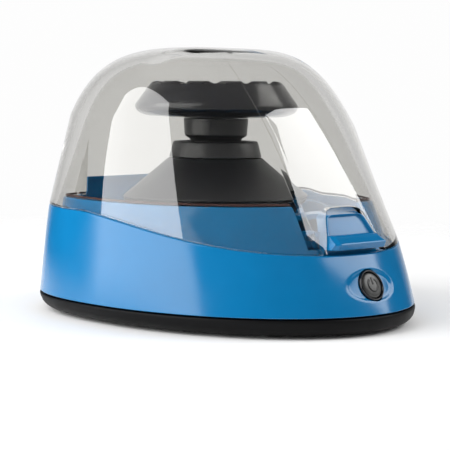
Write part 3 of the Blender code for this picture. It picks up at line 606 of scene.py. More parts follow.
def rubbery(name, color, grain=3200, depth=0.00002):
    """Rubber: matt, pebbled, with a dusty bloom in patches."""
    look = Look(name)
    bloom = look.ranged(look.noise(120, 5), 0, 1, 0.45, 0.75)
    look.set(Base_Color=look.mixed(bloom, color, tuple(c * 1.5 + 0.006 for c in color)),
             Roughness=look.ranged(look.noise(260, 4), 0.68, 0.92))
    look.bump((look.noise(grain, 2), depth))
    return look.material


def metallic(name, color, roughness, stretch=(1, 1, 40)):
    """Machined metal: fine tool lines in one direction and uneven polish."""
    look = Look(name)
    lines = look.noise(420, 3, stretch=stretch)
    look.set(Base_Color=look.mixed(look.ranged(lines, 0, 1), shade(color, 0.86), shade(color, 1.1)),
             Metallic=1.0, Roughness=look.ranged(look.noise(180, 4), roughness * 0.8, roughness * 1.3))
    look.bump((lines, 0.000006))
    return look.material


def circuit(name):
    """Green solder mask with copper tracks under it."""
    look = Look(name)
    brick = look.node("ShaderNodeTexBrick", Scale=190.0)
    brick.offset = 0.37
    for key, value in (("Mortar Size", 0.06), ("Brick Width", 0.9), ("Row Height", 0.3)):
        brick.inputs[key].default_value = value
    look.link(look.place, brick.inputs["Vector"])
    mask = look.mixed(look.ranged(look.noise(90, 4), 0, 1), (0.008, 0.10, 0.035), (0.012, 0.15, 0.05))
    look.set(Base_Color=look.mixed(brick.outputs["Fac"], mask, (0.02, 0.24, 0.09)),
             Roughness=look.ranged(look.noise(400, 2), 0.25, 0.4))
    look.bump((brick.outputs["Fac"], 0.00003))
    return look.material


LID_TINT = (0.765, 0.760, 0.742)
LID_SHADOW = (0.34, 0.34, 0.34)
LID_IOR = 1.07


def clear_lid(name, gloss):
    """Smoke-tinted clear plastic that lets lamps light what it covers."""
    look = Look(name)
    haze = look.noise(55, 4)
    tint = look.mixed(look.ranged(haze, 0, 1), shade(LID_TINT, 0.985), shade(LID_TINT, 1.015))
    look.set(Base_Color=tint, Roughness=look.ranged(look.noise(240, 3), 0.008, 0.03))
    outside = look.ranged(look.node("ShaderNodeNewGeometry").outputs["Backfacing"], gloss, 0.0, 0, 1)
    look.set(Transmission_Weight=1.0, IOR=LID_IOR, Coat_Weight=outside, Coat_Roughness=0.01, Coat_IOR=1.8)
    look.bump((look.noise(26, 2), 0.000006))
    look.let_through(look.node("ShaderNodeLightPath").outputs["Is Shadow Ray"], LID_SHADOW)
    return look.material


BLUE = (0.0, 0.136, 0.325)

LOOKS = {
    "blue": moulded("blue_moulded", BLUE, 0.17, 2600, 0.000003, 1.15),
    "tray": moulded("black_textured", (0.003, 0.003, 0.0034), 0.5, 2300, 0.00002, 1.9, 0.12),
    "rotor": moulded("rotor_satin", (0.006, 0.0065, 0.008), 0.4, 2800, 0.000012, 1.8, 0.4),
    "gloss": moulded("black_polished", (0.004, 0.0045, 0.007), 0.16, 3000, 0.000002, 1.8),
    "collar": moulded("collar_satin", (0.008, 0.0085, 0.010), 0.36, 3000, 0.000010, 1.6, 0.4),
    "grey": moulded("grey_satin", (0.05, 0.05, 0.049), 0.3, 2600, 0.000006, 1.2),
    "dark_grey": moulded("dark_grey_satin", (0.10, 0.10, 0.105), 0.4, 2400, 0.00001, 1.3),
    "ink": moulded("black_ink", (0.006, 0.006, 0.006), 0.3, 2600, 0.000003, 1.5),
    "red_wire": moulded("red_insulation", (0.42, 0.015, 0.012), 0.4, 1800, 0.00001, 1.2),
    "rubber": rubbery("black_rubber", (0.018, 0.018, 0.018)),
    "seal": rubbery("brown_seal", (0.04, 0.012, 0.009), 2600, 0.000015),
    "steel": metallic("bright_steel", (0.56, 0.56, 0.57), 0.26),
    "shell": metallic("drawn_steel", (0.44, 0.44, 0.45), 0.38),
    "aluminium": metallic("turned_aluminium", (0.74, 0.74, 0.75), 0.3),
    "board": circuit("solder_mask"),
    "clear": clear_lid("clear_smoke", 1.0),
    "clear_inner": clear_lid("clear_smoke_inner", 0.0),
}


# --- base tray

def tray_profile():
    """Outline of the tray's wall as (inset, height)."""
    lip_in = HOUSING_WALL + GAP
    return softened([
        (8.0, 1.2, 0), (4.3, 1.2, 1.6), (1.4, 3.2, 2.0), (0.0, 6.2, 1.0), (0.05, SEAM_Z - GAP, 0.4),
        (lip_in, SEAM_Z - GAP, 0.2), (lip_in, SEAM_Z + 2.6, 0.4), (lip_in + 1.6, SEAM_Z + 2.6, 0.4),
        (lip_in + 2.0, 3.6, 0.8), (12.0, 3.6, 0)], 0.4, closed=False)


def make_tray():
    outline = tray_profile()
    middle = (0.0, WIDEST_Y)
    rings = [[(middle[0], middle[1], outline[0][1])]]
    rings += [level_ring(z, inset) for inset, z in outline]
    rings += [[(middle[0], middle[1], outline[-1][1])]]
    tray = build("tray_shell", (add_loft, rings))
    join(tray, *uprights(BASE_SCREWS, 2.6, 5.2, 5.0, 32, 0.3))
    recess = [(0, 0), (3.2, 0), (3.2, 3.4), (1.3, 3.4), (1.3, 7), (0, 7)]
    holes = [(add_turned, recess, 0, p, 48) for p in BASE_SCREWS]
    inlet = (add_box, (JACK.x - 5.1, 67.0, 7.7), (JACK.x + 5.1, 73.4, 12.0))
    cut(tray, *holes, *uprights(FEET, 0.0, 1.8, 6.4, 64), inlet)
    stand_for(tray, LOOKS["tray"], "base_tray")


def make_feet():
    outline = [(0, 0), (5.3, 0, 0.5), (6.0, 0.9, 0.4), (6.0, 1.5, 0.1), (0, 1.5)]
    rings = [[(r, -0.4), (r, 0.22, 0.1), (r + 0.5, 0.22, 0.1), (r + 0.5, -0.4)] for r in (1.6, 3.2)]
    for number, place in enumerate(FEET, 1):
        grooves = [(add_turned, ring, 0.1, place, 72) for ring in rings]
        make_turned(f"foot_pad_{number}", f"foot_{number}", "rubber", (outline, 0.3, place, 72), *grooves)


def add_cross(bm, place, low_z, high_z, reach_out=1.5, half=0.28):
    """The cross recess of a screw head, as one plus-shaped prism."""
    arm = [(half, half), (reach_out, half), (reach_out, -half), (half, -half)]
    points = []
    for quarter in range(4):
        turn = Matrix.Rotation(-math.pi / 2 * quarter, 2)
        points += [turn @ Vector(p) for p in arm[:3]]
    add_prism(bm, [(place[0] + p.x, place[1] + p.y) for p in points], low_z, high_z, "Z")


def make_cross_screws():
    """The four base screws seen from below, and the two motor screws seen from above."""
    outline = [(0, 1.3), (1.6, 1.35, 0.4), (2.8, 2.0, 0.4), (2.8, 3.1, 0.1), (1.0, 3.1, 0.1),
               (1.0, 13.2, 0.1), (0.3, 14.0, 0.1), (0, 14.0)]
    for number, place in enumerate(BASE_SCREWS, 1):
        make_turned(f"base_screw_head_{number}", f"base_screw_{number}", "steel", (outline, 0.2, place, 48),
                    (add_cross, place, 0.5, 2.4))
    for number, place in enumerate(MOTOR_SCREWS, 1):
        node = f"motor_screw_{number}"
        low, high = (corner.z for corner in node_box(node))
        outline = [(0, high), (1.2, high, 0.4), (2.2, high - 0.4, 0.3), (2.2, high - 1.2, 0.1),
                   (1.0, high - 1.2, 0.1), (1.0, low, 0.1), (0, low)]
        make_turned(f"motor_screw_head_{number}", node, "steel", (outline, 0.2, place, 40),
                    (add_cross, place, high - 0.7, high + 1.0, 1.1, 0.22))


# --- upper housing

def front_slope(z):
    """How far the front leans back from upright, in radians."""
    return math.atan2(front_y(0, z + 1) - front_y(0, z - 1), 2.0)


BUTTON_SLOPE = front_slope(BUTTON_Z)
BUTTON_CENTRE = Vector((0.0, front_y(0, BUTTON_Z), BUTTON_Z))
BUTTON_OUT = Vector((0.0, -math.cos(BUTTON_SLOPE), math.sin(BUTTON_SLOPE)))
BUTTON_UP = Vector((0.0, BUTTON_OUT.z, -BUTTON_OUT.y))


def along_button(distance, x=0.0, up=0.0):
    return BUTTON_CENTRE + BUTTON_OUT * distance + Vector((x, 0, 0)) + BUTTON_UP * up


def dished(point):
    """Press a point of the front skin into the oval dish round the button."""
    offset = Vector(point) - BUTTON_CENTRE
    if offset.y > 12 or abs(offset.x) > DISH_HALF_WIDE:
        return point
    wide = offset.x / DISH_HALF_WIDE
    tall = offset.dot(BUTTON_UP) / DISH_HALF_TALL
    share = math.sqrt(wide * wide + tall * tall)
    if share >= 1:
        return point
    wall = eased((1 - share) / 0.22)
    floor = 0.35 * (1 - share * share)
    return tuple(Vector(point) - BUTTON_OUT * (DISH_DEPTH * wall * (0.65 + floor)))


HOUSING_ROWS = 58


def housing_rings():
    """Outer skin, rim, ledge, upstand and inner skin, as one closed cross-section."""
    bottom = SEAM_Z + GAP
    rings = [level_ring(bottom, 0.3), level_ring(bottom + 0.06, 0.12), level_ring(bottom + 0.25, 0.0)]
    low = bottom + 0.25
    for step in range(1, HOUSING_ROWS + 1):
        rings.append([dished(p) for p in between_ring(low, -0.55, step / HOUSING_ROWS, 0.0)])
    rings += [rim_ring(0.04, -0.32), rim_ring(0.16, -0.13), rim_ring(0.36, -0.03), rim_ring(0.6)]
    foot = 0.5
    rings += [rim_ring(UPSTAND_IN - 1.0), rim_ring(UPSTAND_IN - foot, 0.02)]
    rings += [rim_ring(UPSTAND_IN - 0.15, 0.16), rim_ring(UPSTAND_IN, foot)]
    for share in (0.35, 0.7):
        rings.append([skin_point(a, r + foot + (UPSTAND_Z - 0.5 - r - foot) * share, UPSTAND_IN)
                      for a, r in zip(PLAN_ANGLES, RIM_HEIGHTS)])
    rings += [level_ring(UPSTAND_Z - EDGE, UPSTAND_IN), level_ring(UPSTAND_Z - 0.13, UPSTAND_IN + 0.13)]
    rings += [level_ring(UPSTAND_Z, UPSTAND_IN + EDGE), level_ring(UPSTAND_Z, UPSTAND_INNER - EDGE)]
    rings += [level_ring(UPSTAND_Z - 0.13, UPSTAND_INNER - 0.13),
              level_ring(UPSTAND_Z - EDGE, UPSTAND_INNER)]
    rings += [rim_ring(UPSTAND_INNER, -2.4), rim_ring(HOUSING_WALL, -2.4)]
    rings += [between_ring(SEAM_Z, -2.4, share, HOUSING_WALL) for share in (0.75, 0.5, 0.25)]
    rings.append(level_ring(bottom, HOUSING_WALL))
    return rings


def hinge_rod(start, end, radius, edge=0.0):
    return (add_rod, (start, HINGE.y, HINGE.z), (end, HINGE.y, HINGE.z), radius, 64, edge)


def latch_rod(half_length, radius, edge=0.0):
    return (add_rod, (-half_length, LATCH.y, LATCH.z), (half_length, LATCH.y, LATCH.z), radius, 40, edge)


def latch_window(low_z):
    """Box that clears the latch tab's place, from a height up."""
    return (add_box, (-LATCH_GAP_HALF, LATCH_GAP_FRONT_Y, low_z), (LATCH_GAP_HALF, LATCH_GAP_BACK_Y, 50.0))


def make_housing():
    housing = build("housing_shell", (add_loft, housing_rings(), True))
    cut(housing, latch_window(30.4))
    fins = [(add_box, (side * FIN_X - 1.9, 58.0, 43.4), (side * FIN_X + 1.9, 70.0, 50.0))
            for side in (1, -1)]
    cut(housing, *fins)
    well = [(-15.3, -62.6), (15.3, -62.6), (15.3, -45.0), (-15.3, -45.0)]
    cut(housing, (add_prism, well, 20.0, 32.0, "Z", 0.8))
    columns = uprights(BASE_SCREWS, 5.5, 24.0, 3.9, 40)
    lug = [(-61.0, 21.6), (-54.6, 21.6), (-54.6, 28.0), (-61.0, 28.0)]
    lugs = [(add_prism, lug, side * 15.7, side * 18.7) for side in (1, -1)]
    knuckles = [hinge_rod(side * (KNUCKLE_HALF + GAP), side * KNUCKLE_OUTER, HINGE_RADIUS, 0.4)
                for side in (1, -1)]
    join(housing, *columns, *lugs, *knuckles)
    cut(housing, hinge_rod(-KNUCKLE_HALF - GAP, KNUCKLE_HALF + GAP, HINGE_RADIUS + 0.4))
    cut(housing, hinge_rod(-25, 25, HINGE_BORE), latch_rod(20, LATCH_BORE),
        (add_rod, along_button(3.0), along_button(-6.0), BEZEL_RADIUS + GAP, 96),
        (add_rod, (JACK.x, 60.0, INLET_Z), (JACK.x, 85.0, INLET_Z), 4.6, 64))
    cut(housing, *uprights(BASE_SCREWS, 0.0, 16.0, PILOT_RADIUS))
    stand_for(housing, LOOKS["blue"], "upper_housing")


# --- chamber bowl

def make_bowl():
    outer = BOWL_RADIUS + 2.0
    under = BOWL_FLOOR_Z - 2.0
    chimney_in = CHIMNEY_RADIUS - 2.0
    wall = softened([
        (BOWL_RADIUS + 1.2, DECK_Z, 0), (BOWL_RADIUS, DECK_Z, 1.0),
        (BOWL_RADIUS - 1.5, BOWL_FLOOR_Z + 5.0, 3.0), (BOWL_RADIUS - 6.0, BOWL_FLOOR_Z, 4.0),
        (CHIMNEY_RADIUS, BOWL_FLOOR_Z, 2.0), (CHIMNEY_RADIUS, CHIMNEY_TOP_Z, 0.8),
        (4.2, CHIMNEY_TOP_Z, 0.3), (4.2, CHIMNEY_TOP_Z - 1.8, 0), (chimney_in, CHIMNEY_TOP_Z - 1.8, 0),
        (chimney_in, under, 0), (BOWL_RADIUS - 5.0, under, 2.0), (outer - 1.5, BOWL_FLOOR_Z + 4.5, 2.0),
        (outer, DECK_Z - DECK_THICK, 0)], 0.5, closed=False, steps=5)
    rings = [level_ring(DECK_Z - 0.3, DECK_IN), level_ring(DECK_Z, DECK_IN + 0.3)]
    rings += [bowl_ring(radius, z) for radius, z in wall]
    rings.append(level_ring(DECK_Z - DECK_THICK, DECK_IN))
    bowl = build("chamber_liner", (add_loft, rings, True))
    ears = [(add_block, (side * FIN_X - 3.2, 50.6, DECK_Z - 1.4), (side * FIN_X + 3.2, 58.4, 44.0), 0.5)
            for side in (1, -1)]
    back = SCREEN_FRONT_Y + SCREEN_THICK
    screen = [(-SCREEN_HALF, DECK_Z - 1.0, 0), (SCREEN_HALF, DECK_Z - 1.0, 0),
              (SCREEN_HALF, SCREEN_TOP_Z, 0.8), (-SCREEN_HALF, SCREEN_TOP_Z, 0.8)]
    join(bowl, *ears, (add_prism, screen, SCREEN_FRONT_Y, back, "Y", 0.4))
    slots = [(add_box, (side * FIN_X - 1.8, 53.0, 35.0), (side * FIN_X + 1.8, 59.8, 50.0))
             for side in (1, -1)]
    low, high = DECK_Z + 4.5, SCREEN_TOP_Z - 1.2
    recess = [(-24.8, low, 3.8), (24.8, low, 3.8), (24.8, high, 0.6), (-24.8, high, 0.6)]
    hollow = (add_prism, recess, SCREEN_FRONT_Y - 1.0, back - 1.1, "Y", 0.6)
    screws = uprights(MOTOR_SCREWS, 30.0, 40.0, PILOT_RADIUS)
    cut(bowl, *slots, hollow, latch_window(30.0), *screws)
    stand_for(bowl, LOOKS["blue"], "chamber_bowl")


def make_seals():
    """The rim's seal, in three lengths between the fins and the latch tab."""
    base = UPSTAND_Z + GAP
    section = softened([(0.6, 0), (0.8, 0.75), (1.8, 0.75), (2.0, 0)], 0.3)
    rings = [level_ring(base + rise, UPSTAND_IN + inset) for inset, rise in section]
    fin_in, fin_out = FIN_X - 1.9, FIN_X + 1.9
    lengths = {"rim_seal_back": [(-fin_in, 0), (fin_in, 0), (fin_in, 80), (-fin_in, 80)]}
    half = [(LATCH_GAP_HALF, -80), (80, -80), (80, 80), (fin_out, 80), (fin_out, 0), (LATCH_GAP_HALF, 0)]
    lengths["rim_seal_right"] = half
    lengths["rim_seal_left"] = [(-x, y) for x, y in half]
    for node, outline in lengths.items():
        seal = build(f"{node}_strip", (add_loft, rings, True))
        combine(seal, "INTERSECT", (add_prism, outline, 40.0, 50.0, "Z"))
        stand_for(seal, LOOKS["seal"], node)


# --- lid

NOTCH = [(16.4, 26.0, 0), (15.4, 30.0, 2.0), (10.4, 42.2, 1.6), (8.2, 44.9, 2.4), (0.0, 45.2, 0)]
LID_ROWS = 46
CATCH_Y = front_y(17.8, 37.0) + LID_WALL


def notch_border():
    """Even points round the arch above the rim, from the left to the right, with inward normals."""
    half = softened(NOTCH, 1.0, closed=False, steps=8)
    whole = [(-x, z) for x, z in half] + half[-2::-1]
    dense = []
    for (x0, z0), (x1, z1) in zip(whole, whole[1:]):
        count = max(int(math.hypot(x1 - x0, z1 - z0) / 0.5), 1)
        dense += [(x0 + (x1 - x0) * i / count, z0 + (z1 - z0) * i / count) for i in range(count)]
    dense.append(whole[-1])
    foot = PARTING_FRONT_Z + GAP + 0.4
    dense = [point for point in dense if point[1] > foot]
    border = []
    for i, (x, z) in enumerate(dense):
        along = heading(dense, i).normalized()
        border.append((x, z, Vector((-along.y, along.x))))
    return border


def lid_columns():
    """Start of each column of the lid's skin: (x or None, angle, z, normal in x and z)."""
    notch = notch_border()
    edge_angle = front_angle(notch[-1][0] + 0.25, PARTING_FRONT_Z)
    columns = [(x, front_angle(x, z), z, normal) for x, z, normal in notch]
    beside = []
    for angle, rim in zip(PLAN_ANGLES, RIM_HEIGHTS):
        turned = angle if angle > -math.pi / 2 else angle + 2 * math.pi
        if edge_angle < turned < math.pi - edge_angle:
            beside.append((turned, rim + GAP))
    return columns + [(None, angle, z, Vector((0, 1))) for angle, z in sorted(beside)]


def lid_row(columns, offset, inset):
    """Points just inside the lid's lower border, moved in from the border and from the skin."""
    row = []
    for x, angle, z, normal in columns:
        high = z + normal.y * offset
        if x is not None:
            angle = front_angle(x + normal.x * offset, high, inset)
        row.append(skin_point(angle, high, inset))
    return row


def lid_wall(angle, z):
    """Thickness of the lid's wall: even at the rim and fuller higher up, least so in front."""
    front = max(-math.sin(angle), 0.0)
    full = LID_SIDE_WALL - (LID_SIDE_WALL - LID_FRONT_WALL) * front ** 3
    return LID_WALL + (full - LID_WALL) * eased((z - LID_THICKEN_Z) / (32.0 - 20.0 * front))


def lid_skin(columns, offset, inner):
    """Rows from just inside the border up to the crown."""
    crown = DOME_Z - (LID_CROWN_WALL if inner else 0.0)
    inset = LID_WALL if inner else 0.0
    rows = []
    for step in range(1, LID_ROWS):
        closing = 1 - step / LID_ROWS
        rise = (1 - closing ** SIDE_DOME) ** (1 / SIDE_DOME)
        row = []
        for x, angle, z, normal in columns:
            base = z + normal.y * offset
            if x is not None:
                angle = front_angle(x + normal.x * offset, base, inset)
            high = base + (crown - base) * rise
            lift = max((high - UPSTAND_Z) / (crown - UPSTAND_Z), 0.0) ** 2
            wall = lid_wall(angle, high) * (1 - 0.6 * lift ** 2) if inner else 0.0
            px, py, _ = skin_point(angle, high + (DOME_Z - crown) * lift, wall)
            row.append((px, py, high))
        rows.append(row)
    rows.append([(0.0, APEX_Y, crown)])
    return rows


def make_lid():
    columns = lid_columns()
    outer_edge = [(EDGE, 0.0), (0.2, 0.06), (0.06, 0.2), (0.0, EDGE)]
    inner_edge = [(0.0, LID_WALL - EDGE), (0.06, LID_WALL - 0.2), (0.2, LID_WALL - 0.06), (EDGE, LID_WALL)]
    outer = lid_skin(columns, EDGE, False)
    inner = lid_skin(columns, EDGE, True)
    border = [lid_row(columns, offset, inset) for offset, inset in outer_edge + inner_edge]
    lid = build("lid_dome", (add_loft, outer[::-1] + border + inner))
    fins = []
    for side in (1, -1):
        x = side * FIN_X
        wall = [(back_y(x, z, LID_WALL - 1.2), z) for z in (76.0, 70.0, 62.0, 54.0, 47.0)]
        outline = [(FIN_FRONT_Y, FIN_FOOT_Z, 0.5), (FIN_FRONT_Y, 73.0, 6.0)]
        outline += [(y, z, 0) for y, z in wall]
        outline += [(61.6, 44.0, 0.5), (59.2, 44.0, 0.3), (59.2, FIN_FOOT_Z, 0.5)]
        fins.append((add_prism, outline, x - FIN_THICK / 2, x + FIN_THICK / 2, "X", 0.4))
    join(lid, *fins)
    join(lid, hinge_rod(-KNUCKLE_HALF, KNUCKLE_HALF, HINGE_RADIUS, 0.4))
    reliefs = [hinge_rod(side * KNUCKLE_HALF, side * (KNUCKLE_OUTER + GAP), HINGE_RADIUS + 0.4)
               for side in (1, -1)]
    cut(lid, hinge_rod(-15, 15, HINGE_BORE))
    cut(lid, *reliefs)
    back = CATCH_Y + 1.6
    catch = [(back - 4.4, 33.8), (back, 33.8), (back, 34.8), (back - 0.6, 35.4), (back - 4.4, 35.4)]
    join(lid, *[(add_prism, catch, side * 15.6, side * 18.2) for side in (1, -1)])
    stand_for(lid, LOOKS["clear"], "lid", sharp=40)
    lid.data.materials.append(LOOKS["clear_inner"])
    middle = Vector((0.0, APEX_Y, SEAM_Z)) * MM
    for face in lid.data.polygons:
        face.material_index = int(face.normal.dot(face.center - middle) < 0)


# --- latch

def tab_half_width(z):
    """Half width of the tab: straight stem, wide lip, and a pad that narrows to round shoulders."""
    if z <= LIP_LOW_Z:
        return 14.4
    share = (z - LIP_LOW_Z) / (TAB_TOP_Z - LIP_LOW_Z)
    corner = max(0.0, (share - 0.86) / 0.14)
    return 14.8 - 5.2 * share - 2.6 * (1 - math.sqrt(max(1 - corner * corner, 0.0)))


LIP_LINE = softened([(LIP_LOW_Z, -65.8, 0), (32.9, -67.3, 0.5), (34.5, -64.6, 0.7),
                     (LIP_TOP_Z + 0.6, -63.3, 0)], 0.5, closed=False, steps=6)


def lip_y(z):
    """Front of the finger lip at a height."""
    for (low_z, low_y), (high_z, high_y) in zip(LIP_LINE, LIP_LINE[1:]):
        if z <= high_z:
            return low_y + (high_y - low_y) * max(z - low_z, 0.0) / max(high_z - low_z, 1e-6)
    return LIP_LINE[-1][1]


def tab_front(x, z):
    """Front of the tab: the stem, the finger lip, and a dished pad in a thin frame."""
    half = tab_half_width(z)
    across = min(abs(x) / half, 1.0)
    if z < LIP_LOW_Z:
        return -60.6
    flush = front_y(x, z, TAB_IN)
    height = (z - LIP_TOP_Z) / (TAB_TOP_Z - LIP_TOP_Z)
    frame_side = eased((1 - across) * half / 1.5 - 0.25)
    frame_top = eased((1 - height) * 6.0)
    pad = TAB_DISH * frame_side * frame_top * (0.75 + 0.25 * (1 - across * across))
    if z >= LIP_TOP_Z + 0.6:
        return flush + pad
    bend = 1.5 * eased((across - 0.86) / 0.14)
    lip = lip_y(z) + bend
    return min(flush, lip) if z < 33.5 else min(flush + pad, lip)


def make_latch():
    levels = [22.0, 24.0, 26.0, 28.0, 29.6, LIP_LOW_Z - 0.25, LIP_LOW_Z - 0.02]
    levels += [LIP_LOW_Z + 0.25 * i for i in range(49)]
    levels[-1] = TAB_TOP_Z
    shares = [math.sin(math.pi / 2 * (i / 32 - 1)) for i in range(65)]
    front, back = [], []
    for z in levels:
        wide = tab_half_width(z)
        rear = -54.6 if z <= LIP_LOW_Z else front_y(0, z, TAB_BACK_IN)
        front.append([(s * wide, tab_front(s * wide, z), z) for s in shares])
        back.append([(s * wide, rear, z) for s in shares])
    tab = build("latch_tab_shell", (add_slab, front, back))
    hook_y = CATCH_Y + 0.6
    hook = [(hook_y + 4.4, 31.0), (hook_y + 4.4, 37.0), (hook_y + 0.4, 37.0), (hook_y, 35.8),
            (hook_y + 1.4, 35.8), (hook_y + 1.4, 31.0)]
    web = [(hook_y + 4.0, 31.4), (hook_y + 4.0, 36.6), (hook_y - 0.6, 36.6), (hook_y - 0.6, 31.4)]
    join(tab, *[(add_prism, hook, side * 14.2, side * 17.8, "X", 0.25) for side in (1, -1)])
    join(tab, *[(add_prism, web, side * 9.0, side * 14.7) for side in (1, -1)])
    cut(tab, latch_rod(20, LATCH_BORE), (add_box, (-4.5, -62.0, 20.0), (4.5, -53.0, 28.2)))
    stand_for(tab, LOOKS["blue"], "latch_tab", sharp=42)


def add_tube(bm, points, radius, sides=12):
    """A round wire along a list of points."""
    rings = []
    for i, point in enumerate(points):
        turn = heading(points, i).to_track_quat("Z", "X")
        rings.append([Vector(point) + turn @ Vector((radius * math.cos(a), radius * math.sin(a), 0))
                      for a in (2 * math.pi * k / sides for k in range(sides))])
    add_loft(bm, rings)


def make_latch_spring():
    """Torsion spring round the latch pin: three turns and two legs."""
    coil, wire, turns, per_turn = 1.9, 0.25, 3, 40
    points = [(-3.0, LATCH.y + coil, 18.6), (-3.0, LATCH.y + coil, 21.0)]
    for step in range(turns * per_turn + 1):
        angle = 2 * math.pi * step / per_turn
        points.append((-3.0 + 6.0 * step / (turns * per_turn), LATCH.y + coil * math.cos(angle),
                       LATCH.z + coil * math.sin(angle)))
    points.append((3.0, LATCH.y + coil, 27.4))
    stand_for(build("latch_spring_wire", (add_tube, points, wire)), LOOKS["steel"], "latch_spring")


def make_pins():
    for name, node, half, place in (("hinge_pin_rod", "hinge_pin", KNUCKLE_OUTER, HINGE),
                                    ("latch_pin_rod", "latch_pin", 18.5, LATCH)):
        low, high = node_box(node)
        radius = (high.z - low.z) / 2
        rod = build(name, (add_rod, (-half, place.y, place.z), (half, place.y, place.z), radius, 40, 0.3))
        stand_for(rod, LOOKS["steel"], node)


# --- power button

def add_axial(bm, outline, radius=0.25, sides=TURN_SIDES):
    """Turn an outline of (radius, height above the button's seat) about the button's axis."""
    poles = outline[0][0] == 0
    profile = softened(outline, radius, closed=not poles)
    add_revolved(bm, profile, along_button(BUTTON_SEAT), BUTTON_OUT, sides)


def button_face(x, up):
    """Height of the button's slightly domed face above its seat."""
    return 1.0 - 0.45 * (x * x + up * up) / BUTTON_RADIUS ** 2


def add_stroke(bm, path, half_width, thick=0.16):
    """A raised stroke on the button's face, along (x, up) points."""
    rings = []
    for i, (x, up) in enumerate(path):
        along = heading(path, i).normalized()
        side = Vector((-along.y, along.x))
        ring = []
        for share, lift in ((-1, -0.3), (-1, 0.5), (-0.8, 0.9), (0, 1.0), (0.8, 0.9), (1, 0.5), (1, -0.3)):
            px, pup = x + side.x * half_width * share, up + side.y * half_width * share
            ring.append(along_button(BUTTON_SEAT + button_face(px, pup) + thick * lift, px, pup))
        rings.append(ring)
    add_loft(bm, rings)


def make_button():
    cap = build("power_button_cap", (add_axial, [
        (0, -5.6), (2.0, -5.6), (2.0, -3.0), (BUTTON_RADIUS, -3.0), (BUTTON_RADIUS, 0.25, 0.5),
        (4.1, 0.67, 0.4), (3.2, 0.80, 0), (2.2, 0.905, 0), (1.2, 0.97, 0), (0.5, 0.995, 0), (0, 1.0)]))
    stand_for(cap, LOOKS["grey"], "power_button")
    bezel = build("power_button_bezel", (add_axial, [
        (BUTTON_RADIUS + GAP, -2.8), (BUTTON_RADIUS + GAP, 0.3, 0.3), (BUTTON_RADIUS + 0.65, 0.8, 0.3),
        (BEZEL_RADIUS - 0.25, 0.6, 0.4), (BEZEL_RADIUS, 0.0, 0.3), (BEZEL_RADIUS, -2.8)]))
    stand_for(bezel, LOOKS["gloss"], "button_bezel")
    gap_angle = math.radians(32)
    arc_radius = 2.35
    sweep = [gap_angle + (2 * math.pi - 2 * gap_angle) * i / 60 for i in range(61)]
    arc = [(arc_radius * math.sin(a), arc_radius * math.cos(a)) for a in sweep]
    bar = [(0.0, 0.1 + 2.7 * i / 12) for i in range(13)]
    symbol = build("power_symbol", (add_stroke, arc, 0.42), (add_stroke, bar, 0.42))
    symbol.data.materials.append(LOOKS["ink"])
    symbol.data.shade_smooth()
    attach(symbol, "button")


# --- motor and rotor

def add_wells(bm):
    """Six slanted tube wells that leave through the rotor's lower flank."""
    for index in range(WELL_COUNT):
        turn = Matrix.Rotation(2 * math.pi * index / WELL_COUNT, 3, "Z")
        centre = Vector((ROTOR.x, ROTOR.y, 0.0))
        add_rod(bm, centre + turn @ Vector((8.0, 0.0, 58.5)), centre + turn @ Vector((42.0, 0.0, 24.5)),
                WELL_RADIUS, 40)


def make_rotor():
    make_turned("rotor_body_moulding", "rotor_body", "rotor", ([
        (6.3, 39.6), (18.1, 39.6), (18.1, 31.0), (26.2, 31.0, 1.0), (33.0, 41.5, 1.5), (36.0, 44.6, 0.8),
        (36.0, 45.1, 0.2), (33.2, 45.1, 0.3), (19.5, 56.0, 1.0), (8.2, 45.0, 0.6), (8.2, 50.0, 0.3),
        (6.3, 50.0, 0.2)],), (add_wells,))
    make_turned("rotor_cover_moulding", "rotor_cover", "rotor", ([
        (11.5, 60.8, 0.2), (18.5, 60.8, 0.5), (36.2, 46.2, 0.5), (36.2, 45.4, 0.2), (34.6, 45.4, 0.3),
        (17.8, 59.0, 0.6), (11.5, 59.0, 0.2)],))
    make_turned("rotor_collar_moulding", "rotor_collar", "collar", ([
        (10.4, 61.1, 0.2), (18.3, 61.1, 0.3), (17.7, 63.6, 2.0), (16.7, 67.2, 0.7), (14.4, 67.2, 0.4),
        (13.4, 66.6, 0.3), (10.4, 66.6, 0.2)],))
    make_turned("knob_neck_moulding", "knob_neck", "collar", ([
        (2.3, 52.4), (6.0, 52.4, 0.3), (10.1, 56.0, 0.5), (10.1, 68.0, 0.8), (11.8, 69.0, 0.3),
        (12.4, 69.6, 0.4), (12.8, 76.0, 0.2), (2.3, 76.0)],))
    make_turned("knob_disc_moulding", "knob_disc", "gloss", ([
        (2.3, 76.3), (13.0, 76.3, 0.3), (28.0, 77.0, 2.0), (31.6, 78.6, 1.2), (32.7, 81.0, 1.2),
        (25.9, 90.2, 1.0), (24.2, 90.6, 0.5), (21.5, 86.0, 1.2), (6.4, 85.0, 0.5), (6.4, 81.6, 0.2),
        (2.3, 81.6, 0.2)],), (add_grips,))


def add_grips(bm):
    """Shallow finger scallops round the top edge of the knob."""
    for index in range(GRIP_COUNT):
        angle = 2 * math.pi * (index + 0.5) / GRIP_COUNT
        x = ROTOR.x + GRIP_PLACE_RADIUS * math.cos(angle)
        y = ROTOR.y + GRIP_PLACE_RADIUS * math.sin(angle)
        add_rod(bm, (x, y, GRIP_FLOOR_Z), (x, y, 95.0), GRIP_RADIUS, 48)


